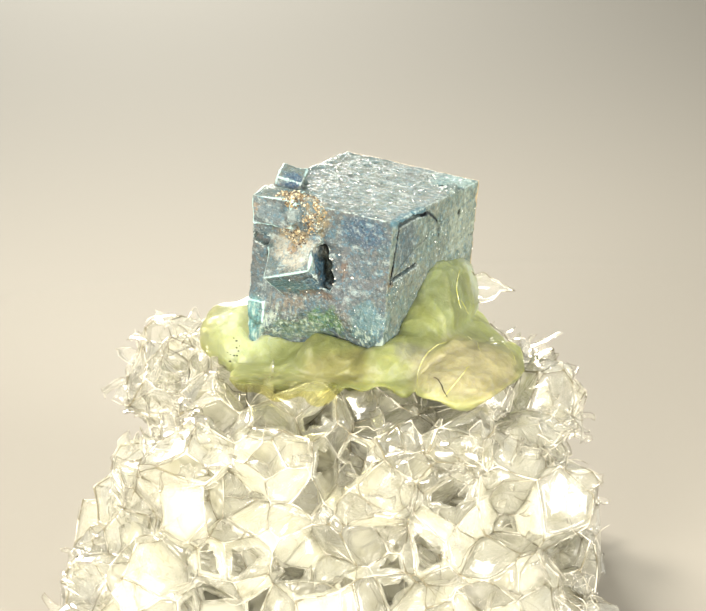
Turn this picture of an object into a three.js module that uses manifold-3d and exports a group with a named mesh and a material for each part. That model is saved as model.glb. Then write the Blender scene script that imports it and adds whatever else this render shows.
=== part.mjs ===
// A boleite crystal stuck with yellow-green mounting putty on a small cut block of clear plastic foam.
// Millimetres, +Z up. The origin is the middle of the foam's flat underside, and -Y is the front.
import * as THREE from "three";
import { ConvexGeometry } from "three/addons/geometries/ConvexGeometry.js";
import { mergeVertices } from "three/addons/utils/BufferGeometryUtils.js";
import Module from "manifold-3d";

const wasm = await Module();
wasm.setup();

// ---- driving dimensions ----

// The crystal is a pseudo-cube. Its own frame has X across the front face, Y into the depth and Z up.
const CRYSTAL = {
  width: 4.6,
  depth: 5.8,
  height: 4.75,
  at: [0.78, 1.58, 10.14],
  turnDeg: [0.9, 4.57, -27.98],
};
const HALF = { x: CRYSTAL.width / 2, y: CRYSTAL.depth / 2, z: CRYSTAL.height / 2 };

// The foam is a block torn by hand from closed-cell foam, wider at its base than at its top.
const FOAM = {
  width: 16.8, // across the base
  depth: 13.4,
  top: 7.75, // the height of the middle of its top
  topTilt: 0.05, // rise of the top for each millimetre to the right
  cell: 1.75, // across one cell
  jitter: 0.27, // how far a cell sits from its place in an even packing, as a share of the packing's pitch
  sideSlope: 0.22, // how far the left and right sides lean in for each millimetre of height
  endSlope: 0.22, // the same for the front and the back
  lean: 0.1, // how far the whole block leans to the right for each millimetre of height
  flare: 0.5, // how far the foot spreads in its lowest row of cells
  squareness: 5, // 2 is an oval plan, and more is squarer
  tornShare: 0.34, // the share of the cells along the sides that are torn away
  seed: 20417,
};

// Centres in a body-centred grid of this pitch leave each cell as wide as FOAM.cell.
const FOAM_PITCH = FOAM.cell * 1.134;

// The clearance that each piece keeps from the one it sits in.
const GAP = 0.05;

// ---- solids ----

// A closed three.js geometry as a manifold-3d solid.
function solidOf(geometry) {
  const bare = geometry.index ? geometry.toNonIndexed() : geometry.clone();
  bare.deleteAttribute("normal");
  bare.deleteAttribute("uv");
  const merged = mergeVertices(bare, 1e-4);
  return new wasm.Manifold(
    new wasm.Mesh({
      numProp: 3,
      vertProperties: merged.attributes.position.array,
      triVerts: new Uint32Array(merged.index.array),
    }),
  );
}

// A manifold-3d solid as a three.js geometry.
function geometryOf(solid) {
  const made = solid.getMesh();
  const geometry = new THREE.BufferGeometry();
  geometry.setAttribute("position", new THREE.BufferAttribute(made.vertProperties, 3));
  geometry.setIndex(new THREE.BufferAttribute(made.triVerts, 1));
  return geometry;
}

// The matrix of a thing turned by three angles and then placed at a point.
function placing(at, turnDeg = [0, 0, 0]) {
  const turn = new THREE.Euler(...turnDeg.map(THREE.MathUtils.degToRad), "XYZ");
  return new THREE.Matrix4().makeRotationFromEuler(turn).setPosition(...at);
}

const placed = (geometry, at, turnDeg) => solidOf(geometry.applyMatrix4(placing(at, turnDeg)));
const cuboid = (size, at, turnDeg) => placed(new THREE.BoxGeometry(...size), at, turnDeg);
const joined = (solids) => solids.reduce((sum, next) => sum.add(next));

// The one body that is left when cuts have parted chips from a solid.
const largest = (solid) => solid.decompose().sort((a, b) => b.volume() - a.volume())[0];

// The same run of numbers from 0 to 1 every time, by the Park-Miller rule.
function randomRun(seed) {
  let state = seed;
  return () => {
    state = (state * 16807) % 2147483647;
    return state / 2147483647;
  };
}

// ---- the crystal ----

// Smaller crystals grown into the front face and the top edge: size, centre and turn in the crystal's frame.
const GROWN_CRYSTALS = {
  perchedCube: { size: [1.64, 1.5, 1.34], at: [-0.62, -2.74, 0.34], turnDeg: [-43.5, -14, -16] },
  cornerBlock: { size: [1.3, 0.95, 0.9], at: [-1.64, -2.62, 1.96], turnDeg: [4, -2, 5] },
  blockBesideIt: { size: [0.62, 0.7, 0.7], at: [-0.86, -2.72, 2.06], turnDeg: [8, 18, 24] },
  topBump: { size: [0.78, 0.92, 0.88], at: [-1.93, -1.5, 2.32], turnDeg: [9, 14, 18] },
  upperLedge: { size: [0.6, 0.5, 0.34], at: [-1.96, -2.76, 1.3], turnDeg: [0, 6, 8] },
  lowerLedge: { size: [0.5, 0.4, 0.5], at: [-1.98, -2.76, 0.6], turnDeg: [6, 14, -6] },
  footSlab: { size: [0.62, 0.36, 1.34], at: [-2.0, -2.84, -1.62], turnDeg: [0, 0, 1] },
};

const HOLLOWS = {
  besidePerchedCube: { size: [0.34, 1.4, 1.25], at: [0.2, -2.72, 0.62], turnDeg: [6, -18, 8] },
  belowIt: { size: [0.3, 0.9, 0.42], at: [0.4, -2.8, 0.1], turnDeg: [12, 24, -16] },
  betweenLedges: { size: [0.5, 0.5, 0.3], at: [-1.98, -2.98, 0.98], turnDeg: [0, 12, 6] },
  topPit: { size: [0.34, 0.18, 0.3], at: [1.72, 1.6, 2.36], turnDeg: [28, 0, 24] },
  rightPit: { size: [0.3, 0.22, 0.26], at: [2.3, 1.7, 1.56], turnDeg: [20, 30, 10] },
  rightGash: { size: [0.2, 0.34, 0.3], at: [2.3, 0.34, 1.5], turnDeg: [-34, 10, 0] },
};

// The sunk panel of the right face, as [depth, height] corners, and the open seams along three of its sides.
const PANEL = {
  corners: [
    [-2.42, 2.14],
    [-2.66, 0.5],
    [-0.96, 0.62],
    [0.28, 1.06],
    [-0.46, 2.15],
  ],
  sunk: 0.05,
  seam: { width: 0.12, deep: 0.26 },
};

// The undercut broken out of the front face's foot: its tip and side corners on the face, in X and Z,
// and how far under the face it runs at the crystal's base.
const UNDERCUT = { tip: [0.42, -0.62], left: [-2.0, -2.0], right: [2.2, -1.2], deep: 0.9 };

// The foot of the left face leans in a little.
const FOOT_LEAN = { size: [1, 7, 3], at: [-2.7, 0, -1.65], turnDeg: [0, -7.2, 0] };

// A raised wedge on the top face, beside the pit near its right corner.
const TOP_WEDGE = { size: [0.5, 0.66, 0.16], at: [1.98, 1.34, 2.34], turnDeg: [10, -9, 20] };

// A crust of small angular grains: where it is thickest, and how far it spreads.
const CRUST = { grains: 20, at: [-0.3, -2.86, 1.78], spread: [0.5, 0.12, 0.66], radius: [0.16, 0.34] };

// Growth layers on the left and back faces, each standing prouder than the last.
const LAYERS = { perFace: 5, step: 0.05, root: 0.6 };

// Small chips along the edges.
const CHIPS = { count: 14, width: [0.1, 0.18], length: [0.14, 0.34] };

// A list of cuboids, all made larger or smaller by the same amount on every side.
const cuboids = (list, grow = 0) =>
  list.map(({ size, at, turnDeg }) => cuboid(size.map((s) => s + 2 * grow), at, turnDeg));

// The sunk panel is a prism of its outline, let into the right face.
function panelCut() {
  const outline = new THREE.Shape(PANEL.corners.map(([y, z]) => new THREE.Vector2(y, z)));
  const prism = new THREE.ExtrudeGeometry(outline, { depth: 1, bevelEnabled: false });
  // The outline's X and Y become the crystal's Y and Z, and its thickness runs along X.
  const standing = new THREE.Matrix4().makeBasis(
    new THREE.Vector3(0, 1, 0),
    new THREE.Vector3(0, 0, 1),
    new THREE.Vector3(1, 0, 0),
  );
  standing.setPosition(HALF.x - PANEL.sunk, 0, 0);
  return solidOf(prism.applyMatrix4(standing));
}

// An open seam in the right face between two of the panel's corners.
function seamCut([y1, z1], [y2, z2]) {
  const length = Math.hypot(y2 - y1, z2 - z1);
  const turn = THREE.MathUtils.radToDeg(Math.atan2(z2 - z1, y2 - y1));
  const size = [2 * PANEL.seam.deep, length, PANEL.seam.width];
  return cuboid(size, [HALF.x, (y1 + y2) / 2, (z1 + z2) / 2], [turn, 0, 0]);
}

// The undercut is one convex piece taken away. Shrink draws its roof and its sides in.
function undercutCut(shrink = 0) {
  const { tip, left, right, deep } = UNDERCUT;
  const roofRise = 0.5;
  const front = -HALF.y - 0.3;
  const low = -HALF.z - 0.5;
  const points = [
    [tip[0], front, tip[1] + roofRise],
    [left[0], front, left[1] + roofRise],
    [right[0], front, right[1] + roofRise],
    [left[0], front, low],
    [right[0], front, low],
    [left[0] * 0.75, -HALF.y + deep, low],
    [right[0] * 0.75, -HALF.y + deep, low],
    [tip[0], -HALF.y + deep * 0.75, -HALF.z + 0.35],
  ];
  const drawnIn = points.map(([x, y, z]) => {
    const lowered = 1.5 * shrink;
    return new THREE.Vector3(x - Math.sign(x) * shrink, y - lowered, z - lowered);
  });
  return solidOf(new ConvexGeometry(drawnIn));
}

function crustGrains(random) {
  return Array.from({ length: CRUST.grains }, () => {
    const at = CRUST.at.map((c, i) => c + (random() + random() - 1) * CRUST.spread[i]);
    const radius = THREE.MathUtils.lerp(...CRUST.radius, random());
    return placed(new THREE.DodecahedronGeometry(radius), at, [360 * random(), 360 * random(), 0]);
  });
}

// A growth layer on a face is a plate rooted inside it. The face looks along out, and across lies in it.
function growthLayer(out, across, half, index, random) {
  const place = [(random() - 0.5) * HALF.y, (random() - 0.3) * HALF.z];
  const extent = [HALF.y * (0.3 + 0.4 * random()), HALF.z * (0.2 + 0.4 * random())];
  const proud = LAYERS.step * (index + 1);
  const up = [0, 0, 1];
  const along = (a, b, c) => out.map((o, k) => o * a + across[k] * b + up[k] * c);
  return {
    size: along(LAYERS.root, ...extent).map(Math.abs),
    at: along(half - LAYERS.root / 2 + proud, ...place),
    turnDeg: [0, 0, 0],
  };
}

function growthLayers() {
  const random = randomRun(4111);
  const layers = Array.from({ length: LAYERS.perFace }, (_, index) => [
    growthLayer([-1, 0, 0], [0, 1, 0], HALF.x, index, random),
    growthLayer([0, 1, 0], [1, 0, 0], HALF.y, index, random),
  ]);
  return layers.flat();
}

// Chips knocked out of the upright edges and the edges of the top face.
function edgeChips(random) {
  const edges = [
    { from: [HALF.x, -HALF.y, -HALF.z], to: [HALF.x, -HALF.y, HALF.z] },
    { from: [HALF.x, HALF.y, -HALF.z], to: [HALF.x, HALF.y, HALF.z] },
    { from: [-HALF.x, -HALF.y, HALF.z], to: [-HALF.x, HALF.y, HALF.z] },
    { from: [-HALF.x, HALF.y, HALF.z], to: [HALF.x, HALF.y, HALF.z] },
    { from: [HALF.x, -HALF.y, HALF.z], to: [HALF.x, HALF.y, HALF.z] },
    { from: [0.6, -HALF.y, HALF.z], to: [HALF.x, -HALF.y, HALF.z] },
    { from: [-HALF.x, HALF.y, -HALF.z], to: [-HALF.x, HALF.y, HALF.z] },
  ];
  const between = ([low, high]) => THREE.MathUtils.lerp(low, high, random());
  return Array.from({ length: CHIPS.count }, (_, i) => {
    const { from, to } = edges[i % edges.length];
    const along = between([0.1, 0.9]);
    return {
      size: [between(CHIPS.width), between(CHIPS.width), between(CHIPS.length)],
      at: from.map((f, k) => f + (to[k] - f) * along),
      turnDeg: [90 * random(), 90 * random(), 90 * random()],
    };
  });
}

// The crystal before its fine detail. Grown a little, it is the hollow that it leaves in the putty.
function crystalBody(grow = 0) {
  const block = { size: [CRYSTAL.width, CRYSTAL.depth, CRYSTAL.height], at: [0, 0, 0], turnDeg: [0, 0, 0] };
  const full = joined(cuboids([block, ...growthLayers(), ...Object.values(GROWN_CRYSTALS)], grow));
  return full.subtract(joined([undercutCut(grow), ...cuboids([FOOT_LEAN], -grow)]));
}

function crystalSolid() {
  const random = randomRun(7331);
  const [topFront, lowFront, lowBack, , topBack] = PANEL.corners;
  const seams = [seamCut(lowFront, topFront), seamCut(topFront, topBack), seamCut(lowFront, lowBack)];
  const cuts = cuboids([...Object.values(HOLLOWS), ...edgeChips(random)]);
  const whole = joined([crystalBody(), ...cuboids([TOP_WEDGE]), ...crustGrains(random)]);
  return largest(whole.subtract(joined([panelCut(), ...seams, ...cuts])));
}

// ---- the mounting putty ----

// Folds of putty pressed round the crystal's foot. Each is the smooth skin round its own few lumps, which
// are given by centre and radii. The first fold lies under the crystal and spreads out in front of it.
const PUTTY_FOLDS = [
  [
    { at: [0.6, 1.3, 7.4], radii: [3.4, 4.2, 0.75] },
    { at: [-0.5, -1.5, 7.4], radii: [2.7, 1.75, 0.62] },
    { at: [1.6, -1.9, 7.4], radii: [1.8, 1.2, 0.64] },
  ],
  [
    { at: [-0.4, -1.2, 7.9], radii: [0.8, 0.9, 0.75] },
    { at: [0.9, -1.9, 7.5], radii: [1.0, 0.9, 0.7] },
  ],
  [
    { at: [1.3, -2.1, 7.75], radii: [0.9, 0.8, 0.78] },
    { at: [2.5, -1.3, 7.9], radii: [0.95, 1.0, 0.85] },
    { at: [3.2, -0.9, 7.5], radii: [1.2, 1.3, 0.75] },
  ],
  [
    { at: [-2.55, 1.3, 7.8], radii: [1.6, 1.9, 0.95] },
    { at: [-1.7, 4.2, 7.4], radii: [1.5, 1.3, 0.75] },
  ],
  [
    { at: [-0.2, 4.5, 7.4], radii: [1.7, 1.4, 0.85] },
    { at: [1.4, 4.6, 7.6], radii: [1.0, 0.9, 0.9] },
    { at: [3.4, 3.6, 7.3], radii: [1.3, 1.3, 0.7] },
  ],
  [
    { at: [2.5, -0.6, 8.3], radii: [0.85, 0.9, 0.95] },
    { at: [3.05, 0.8, 8.75], radii: [0.95, 1.3, 1.5] },
    { at: [3.8, 2.5, 8.75], radii: [0.9, 0.9, 1.05] },
  ],
  [
    { at: [3.9, 1.3, 7.75], radii: [1.2, 1.45, 0.85] },
    { at: [4.35, 0.0, 7.6], radii: [1.2, 1.4, 0.72] },
    { at: [3.3, -1.0, 7.7], radii: [1.2, 1.2, 0.8] },
  ],
  [
    { at: [4.0, -1.5, 7.5], radii: [1.5, 1.7, 0.78] },
    { at: [3.5, -2.9, 7.4], radii: [1.2, 1.3, 0.68] },
  ],
];
const PUTTY_FACETS = 3;

// The putty's folds run together into one body. Grow makes each lump a little larger.
function puttyBlob(grow = 0) {
  const lumpPoints = ({ at, radii }) => {
    const ball = new THREE.IcosahedronGeometry(1, PUTTY_FACETS);
    ball.scale(...radii.map((r) => r + grow)).translate(...at);
    const { count } = ball.attributes.position;
    const corner = (i) => new THREE.Vector3().fromBufferAttribute(ball.attributes.position, i);
    return Array.from({ length: count }, (_, i) => corner(i));
  };
  return joined(PUTTY_FOLDS.map((lumps) => solidOf(new ConvexGeometry(lumps.flatMap(lumpPoints)))));
}

// The thin flap drawn off the putty's highest lump: a crescent along X that ends in a point.
const FLAP = { at: [4.25, 2.6, 9.4], turnDeg: [90, 0, 12], length: 1.15, rise: 0.85, root: 0.22, width: 0.5 };

function flapSolid() {
  const { length, rise, root, width } = FLAP;
  const crescent = new THREE.Shape();
  crescent.moveTo(0, root / 2);
  crescent.quadraticCurveTo(length / 2, rise, length, -root);
  crescent.quadraticCurveTo(length / 2, rise - 2 * root, 0, -root / 2);
  const strip = new THREE.ExtrudeGeometry(crescent, { depth: width, bevelEnabled: false, curveSegments: 6 });
  return placed(strip, FLAP.at, FLAP.turnDeg);
}

// ---- the foam block ----

// The cells' centres: a body-centred grid, with every point pushed aside a little at random. The grid
// reaches past the block all round, so that every cell of the block has neighbours on all sides.
function foamSeeds() {
  const random = randomRun(FOAM.seed);
  const across = Math.ceil(FOAM.width / 2 / FOAM_PITCH) + 1;
  const deep = Math.ceil(FOAM.depth / 2 / FOAM_PITCH) + 1;
  const tall = Math.ceil(FOAM.top / FOAM_PITCH) + 1;
  const buried = 3;
  const seeds = [];
  for (let i = -across; i <= across; i++)
    for (let j = -deep; j <= deep; j++)
      for (let k = -buried; k <= tall; k++)
        for (const half of [0, 0.5]) {
          const push = () => (random() * 2 - 1) * FOAM.jitter;
          const at = [i, j, k].map((step) => (step + half + push()) * FOAM_PITCH);
          seeds.push({ at: new THREE.Vector3(...at), luck: random() });
        }
  return seeds.map((seed) => ({ ...seed, kept: isFoam(seed) }));
}

// How far out a cell's centre lies towards the block's sides, as a share: 1 is on the side.
function foamShare({ x, y, z }) {
  const foot = FOAM.flare * Math.max(0, 1 - z / FOAM.cell) - FOAM.cell / 2;
  const halfWidth = FOAM.width / 2 + foot - FOAM.sideSlope * z;
  const halfDepth = FOAM.depth / 2 + foot - FOAM.endSlope * z;
  const n = FOAM.squareness;
  return (Math.abs((x - FOAM.lean * z) / halfWidth) ** n + Math.abs(y / halfDepth) ** n) ** (1 / n);
}

// A cell belongs to the block if its seed is inside; some of the cells along the sides are torn away.
function isFoam({ at, luck }) {
  const topSeed = FOAM.top - FOAM.cell / 2 + FOAM.topTilt * at.x;
  if (foamShare(at) > 1 || at.z > topSeed || at.z < -FOAM.cell) return false;
  const nearSide = foamShare(at) > 1 - FOAM.cell / FOAM.width;
  return !(nearSide && at.z > FOAM.cell && luck < FOAM.tornShare);
}

// The part of a convex polygon on the near side of a plane. Points cut on the plane go into rim as well.
function clippedPolygon(polygon, plane, rim) {
  const kept = [];
  polygon.forEach((a, i) => {
    const b = polygon[(i + 1) % polygon.length];
    const da = plane.distanceToPoint(a);
    const db = plane.distanceToPoint(b);
    if (da <= 0) kept.push(a);
    if (da <= 0 !== db <= 0) {
      const cut = a.clone().lerp(b, da / (da - db));
      kept.push(cut);
      rim.push(cut);
    }
  });
  return kept;
}

// Points on a plane as one convex polygon facing along the plane's normal, each point once.
function rimPolygon(rim, normal) {
  const middle = rim.reduce((sum, p) => sum.add(p), new THREE.Vector3()).divideScalar(rim.length);
  const u = new THREE.Vector3().subVectors(rim[0], middle).normalize();
  const v = new THREE.Vector3().crossVectors(normal, u);
  const angle = (p) => Math.atan2(p.clone().sub(middle).dot(v), p.clone().sub(middle).dot(u));
  const sorted = rim.map((p) => ({ p, a: angle(p) })).sort((s, t) => s.a - t.a);
  return sorted.filter((s, i) => s.p.distanceTo(sorted.at(i - 1).p) > 1e-7).map((s) => s.p);
}

// The walls of the cell round one seed: each is a polygon and the seed on its other side. The cell starts
// as a box that is too large, and each neighbour's plane halfway between the two seeds cuts it down.
function cellWalls(seed, others) {
  const tooLarge = FOAM.cell * 3;
  const box = new THREE.BoxGeometry(tooLarge, tooLarge, tooLarge).toNonIndexed().attributes.position;
  let walls = [];
  for (let i = 0; i < box.count; i += 3)
    walls.push({
      other: null,
      polygon: [0, 1, 2].map((k) => new THREE.Vector3().fromBufferAttribute(box, i + k).add(seed.at)),
    });
  for (const other of others) {
    const normal = new THREE.Vector3().subVectors(other.at, seed.at).normalize();
    const middle = new THREE.Vector3().addVectors(other.at, seed.at).divideScalar(2);
    const plane = new THREE.Plane().setFromNormalAndCoplanarPoint(normal, middle);
    const rim = [];
    walls = walls
      .map(({ other: beyond, polygon }) => ({ other: beyond, polygon: clippedPolygon(polygon, plane, rim) }))
      .filter(({ polygon }) => polygon.length > 2);
    if (rim.length > 2) walls.push({ other, polygon: rimPolygon(rim, normal) });
  }
  return walls.filter(({ polygon }) => polygon.length > 2);
}

// Neighbouring cells find a shared corner by different sums, so corners are rounded to one grid.
const snapped = (c) => Math.round(c * 1e4) / 1e4;

// The skin of all the kept cells together: the walls that have a kept cell on one side only.
function foamSkin() {
  const seeds = foamSeeds();
  const corners = [];
  for (const seed of seeds.filter(({ kept }) => kept)) {
    const near = seeds
      .filter((s) => s !== seed && s.at.distanceTo(seed.at) < FOAM.cell * 2.4)
      .sort((a, b) => a.at.distanceTo(seed.at) - b.at.distanceTo(seed.at));
    for (const { other, polygon } of cellWalls(seed, near)) {
      if (other && other.kept) continue;
      for (let i = 1; i < polygon.length - 1; i++)
        for (const p of [polygon[0], polygon[i], polygon[i + 1]]) corners.push(...p.toArray().map(snapped));
    }
  }
  const skin = new THREE.BufferGeometry();
  skin.setAttribute("position", new THREE.Float32BufferAttribute(corners, 3));
  return solidOf(skin);
}

// The block is cut flat underneath, and where its sides would pass its width and depth.
function foamSolid(putty) {
  const knife = cuboid([FOAM.width, FOAM.depth, 2 * FOAM.top], [0, 0, FOAM.top]);
  return largest(foamSkin().intersect(knife).subtract(putty));
}

// ---- the part ----

function piece(name, solid, colour, roughness) {
  const material = new THREE.MeshStandardMaterial({ color: colour, roughness, metalness: 0 });
  const mesh = new THREE.Mesh(geometryOf(solid), material);
  mesh.name = name;
  return mesh;
}

const standing = placing(CRYSTAL.at, CRYSTAL.turnDeg);
const crystal = piece("crystal", crystalSolid(), 0x7f99a1, 0.6);
crystal.applyMatrix4(standing);

const crystalHollow = solidOf(geometryOf(crystalBody(GAP)).applyMatrix4(standing));
const puttySolid = largest(puttyBlob().add(flapSolid()).subtract(crystalHollow));

const part = new THREE.Group();
part.add(
  crystal,
  piece("mounting_putty", puttySolid, 0xb9c46a, 0.45),
  piece("foam_block", foamSolid(puttyBlob(GAP)), 0xece8d8, 0.25),
);

export default part;
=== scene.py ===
"""The looks of a boleite crystal stuck with yellow-green putty on a torn block of clear plastic foam.

Lengths are millimetres in the row frame until a piece is finished, and metres after that.
"""

import math
from itertools import product

import bmesh
import bpy
import numpy as np
from mathutils import Matrix, Vector, noise
from mathutils.bvhtree import BVHTree
from mathutils.geometry import points_in_planes


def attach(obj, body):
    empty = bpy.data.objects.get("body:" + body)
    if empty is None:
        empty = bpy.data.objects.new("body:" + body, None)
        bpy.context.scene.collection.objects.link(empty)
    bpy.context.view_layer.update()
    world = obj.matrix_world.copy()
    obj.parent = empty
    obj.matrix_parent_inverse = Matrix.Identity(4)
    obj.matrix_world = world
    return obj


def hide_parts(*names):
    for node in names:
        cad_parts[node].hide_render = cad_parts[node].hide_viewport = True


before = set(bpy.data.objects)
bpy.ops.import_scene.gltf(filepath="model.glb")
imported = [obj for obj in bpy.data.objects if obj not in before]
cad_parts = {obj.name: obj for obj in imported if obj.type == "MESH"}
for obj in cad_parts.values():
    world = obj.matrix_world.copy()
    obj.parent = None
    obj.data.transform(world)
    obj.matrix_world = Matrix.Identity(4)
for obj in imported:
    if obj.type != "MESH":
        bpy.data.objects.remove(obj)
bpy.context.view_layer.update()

MM = 0.001
scene = bpy.context.scene
# Noise vectors are shifted by drawn numbers, which this keeps the same each run.
noise.seed_set(20417)


# ---- small tools ----


def linear(hex_colour, alpha=1.0):
    """An sRGB hex colour as the linear RGBA that Blender's sockets take."""
    parts = [int(hex_colour[i : i + 2], 16) / 255 for i in (1, 3, 5)]
    return (*[c / 12.92 if c <= 0.04045 else ((c + 0.055) / 1.055) ** 2.4 for c in parts], alpha)


def random_run(seed):
    """The same run of numbers from 0 to 1 every time, by the Park-Miller rule."""
    state = seed
    while True:
        state = (state * 16807) % 2147483647
        yield state / 2147483647


def turned(degrees):
    """A turn about X, Y and Z, as the crystal's own frame stands in the row frame."""
    x, y, z = (math.radians(a) for a in degrees)
    return Matrix.Rotation(x, 3, "X") @ Matrix.Rotation(y, 3, "Y") @ Matrix.Rotation(z, 3, "Z")


def add(tree, kind, inputs=None, **settings):
    """Adds a node with its settings. Inputs go by name or number, each a value or another node's socket."""
    made = tree.nodes.new(kind)
    for name, value in settings.items():
        setattr(made, name, value)
    for key, value in (inputs or {}).items():
        if isinstance(value, bpy.types.NodeSocket):
            tree.links.new(value, made.inputs[key])
        else:
            made.inputs[key].default_value = value
    return made


def mesh_object(name, verts, faces, edges=()):
    """A new object in the scene from plain lists of corners and faces."""
    mesh = bpy.data.meshes.new(name)
    mesh.from_pydata(verts, list(edges), faces)
    made = bpy.data.objects.new(name, mesh)
    scene.collection.objects.link(made)
    return made


def baked(obj):
    """Turns what the object's modifiers make into its plain mesh."""
    graph = bpy.context.evaluated_depsgraph_get()
    mesh = bpy.data.meshes.new_from_object(
        obj.evaluated_get(graph), preserve_all_data_layers=True, depsgraph=graph
    )
    obj.modifiers.clear()
    obj.data = mesh
    return obj


def modified(obj, kind, **settings):
    """Adds a modifier with its settings and turns the result into plain mesh."""
    modifier = obj.modifiers.new(kind.title(), kind)
    for name, value in settings.items():
        setattr(modifier, name, value)
    return baked(obj)


def grown_by_nodes(obj, group, **inputs):
    """Runs a Geometry Nodes tree on the object, with its inputs given by name, and keeps the plain mesh."""
    modifier = obj.modifiers.new(group.name, "NODES")
    modifier.node_group = group
    for item in group.interface.items_tree:
        if item.item_type == "SOCKET" and item.in_out == "INPUT" and item.name in inputs:
            modifier[item.identifier] = inputs[item.name]
    return baked(obj)


def corners_of(mesh):
    """The mesh's corners and their normals as two arrays."""
    count = len(mesh.vertices)
    at, normals = np.empty(count * 3), np.empty(count * 3)
    mesh.vertices.foreach_get("co", at)
    mesh.vertices.foreach_get("normal", normals)
    return at.reshape(-1, 3), normals.reshape(-1, 3)


def set_corners(mesh, at):
    """Moves the mesh's corners to these places."""
    mesh.vertices.foreach_set("co", np.asarray(at, float).ravel())
    mesh.update()


def set_attribute(mesh, name, values, domain="POINT"):
    """Gives each corner or face a number that materials and nodes can read by its name."""
    held = mesh.attributes.new(name, "FLOAT", domain)
    held.data.foreach_set("value", np.asarray(values, np.float32))


def field(at, per_mm, seed=0.0):
    """Smooth noise from about -1 to 1 at each point, with so many bumps to the millimetre."""
    shift = Vector((seed, 1.7 * seed, 2.3 * seed))
    return np.array([noise.noise(Vector(p) * per_mm + shift) for p in at])


def vector_field(at, per_mm, seed=0.0):
    """The same noise as a direction and a length at each point."""
    shift = Vector((seed, 1.7 * seed, 2.3 * seed))
    return np.array([noise.noise_vector(Vector(p) * per_mm + shift)[:] for p in at])


def smoothstep(low, high, x):
    """A soft step: 0 up to low, 1 from high on, and falling instead where low is the greater."""
    t = np.clip((x - low) / (high - low), 0, 1)
    return t * t * (3 - 2 * t)


def joined_mesh(name, builders):
    """One object from several closed bmesh shapes."""
    whole = bmesh.new()
    for build in builders:
        build(whole)
    mesh = bpy.data.meshes.new(name)
    whole.to_mesh(mesh)
    whole.free()
    made = bpy.data.objects.new(name, mesh)
    scene.collection.objects.link(made)
    return made


def near_line(at, points):
    """How far each place is from a line drawn through the points."""
    far = np.full(len(at), np.inf)
    for start, end in zip(np.array(points[:-1], float), np.array(points[1:], float)):
        run = end - start
        share = np.clip((at - start) @ run / (run @ run), 0, 1)
        far = np.minimum(far, np.linalg.norm(at - start - share[:, None] * run, axis=1))
    return far


def coated(tree, colour, coats):
    """Lays coats over a colour. Each grows to its strength as its mask goes from one value to another."""
    for mask, start, full, strength, tint in coats:
        share = add(
            tree,
            "ShaderNodeMapRange",
            {"Value": mask, "From Min": start, "From Max": full, "To Min": 0.0, "To Max": strength},
        ).outputs[0]
        mix = add(tree, "ShaderNodeMix", {0: share, 6: colour, 7: linear(tint)}, data_type="RGBA")
        colour = mix.outputs[2]
    return colour


def skin_of(obj):
    """The object's surface, for finding the nearest place on it."""
    corners = [v.co[:] for v in obj.data.vertices]
    return BVHTree.FromPolygons(corners, [p.vertices[:] for p in obj.data.polygons])


def merged_copy(node, name):
    """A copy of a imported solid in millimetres, with its loose triangles joined at their corners."""
    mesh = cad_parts[node].data.copy()
    mesh.transform(Matrix.Scale(1 / MM, 4))
    mesh.materials.clear()
    work = bmesh.new()
    work.from_mesh(mesh)
    bmesh.ops.remove_doubles(work, verts=work.verts, dist=2e-4)
    bmesh.ops.recalc_face_normals(work, faces=work.faces)
    work.to_mesh(mesh)
    work.free()
    made = bpy.data.objects.new(name, mesh)
    scene.collection.objects.link(made)
    return made


def finished(obj, material, node=None, smooth=True):
    """Brings a piece from millimetres to metres, gives it its finish and puts it on the part's one body."""
    obj.data.transform(Matrix.Scale(MM, 4))
    if material:
        obj.data.materials.clear()
        obj.data.materials.append(material)
    obj.data.polygons.foreach_set("use_smooth", [smooth] * len(obj.data.polygons))
    obj.data.update()
    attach(obj, "root")
    if node:
        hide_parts(node)
    return obj


# ---- camera, floor and light ----

VIEW = {"target": (0.47, 0.0, 9.2), "distance": 90.0, "elevation": 18.0, "lens": 152.97}


def set_camera():
    """A long lens that looks down on the piece a little."""
    up = math.radians(VIEW["elevation"])
    away = Vector((0, -math.cos(up), math.sin(up))) * VIEW["distance"]
    camera = bpy.data.objects.new("camera", bpy.data.cameras.new("camera"))
    camera.data.sensor_width = 36
    camera.data.lens = VIEW["lens"]
    camera.data.clip_start = 0.001
    camera.data.clip_end = 10
    camera.location = (Vector(VIEW["target"]) + away) * MM
    camera.rotation_euler = (math.radians(90 - VIEW["elevation"]), 0, 0)
    scene.collection.objects.link(camera)
    scene.camera = camera


def soft_box(name, at, aim, size, watts, colour, spread):
    """A square studio lamp. Its place and size are in millimetres."""
    lamp = bpy.data.lights.new(name, "AREA")
    lamp.size = size * MM
    lamp.energy = watts
    lamp.color = linear(colour)[:3]
    lamp.spread = math.radians(spread)
    holder = bpy.data.objects.new(name, lamp)
    holder.location = Vector(at) * MM
    holder.rotation_euler = (Vector(aim) - Vector(at)).to_track_quat("-Z", "Y").to_euler()
    scene.collection.objects.link(holder)


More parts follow.
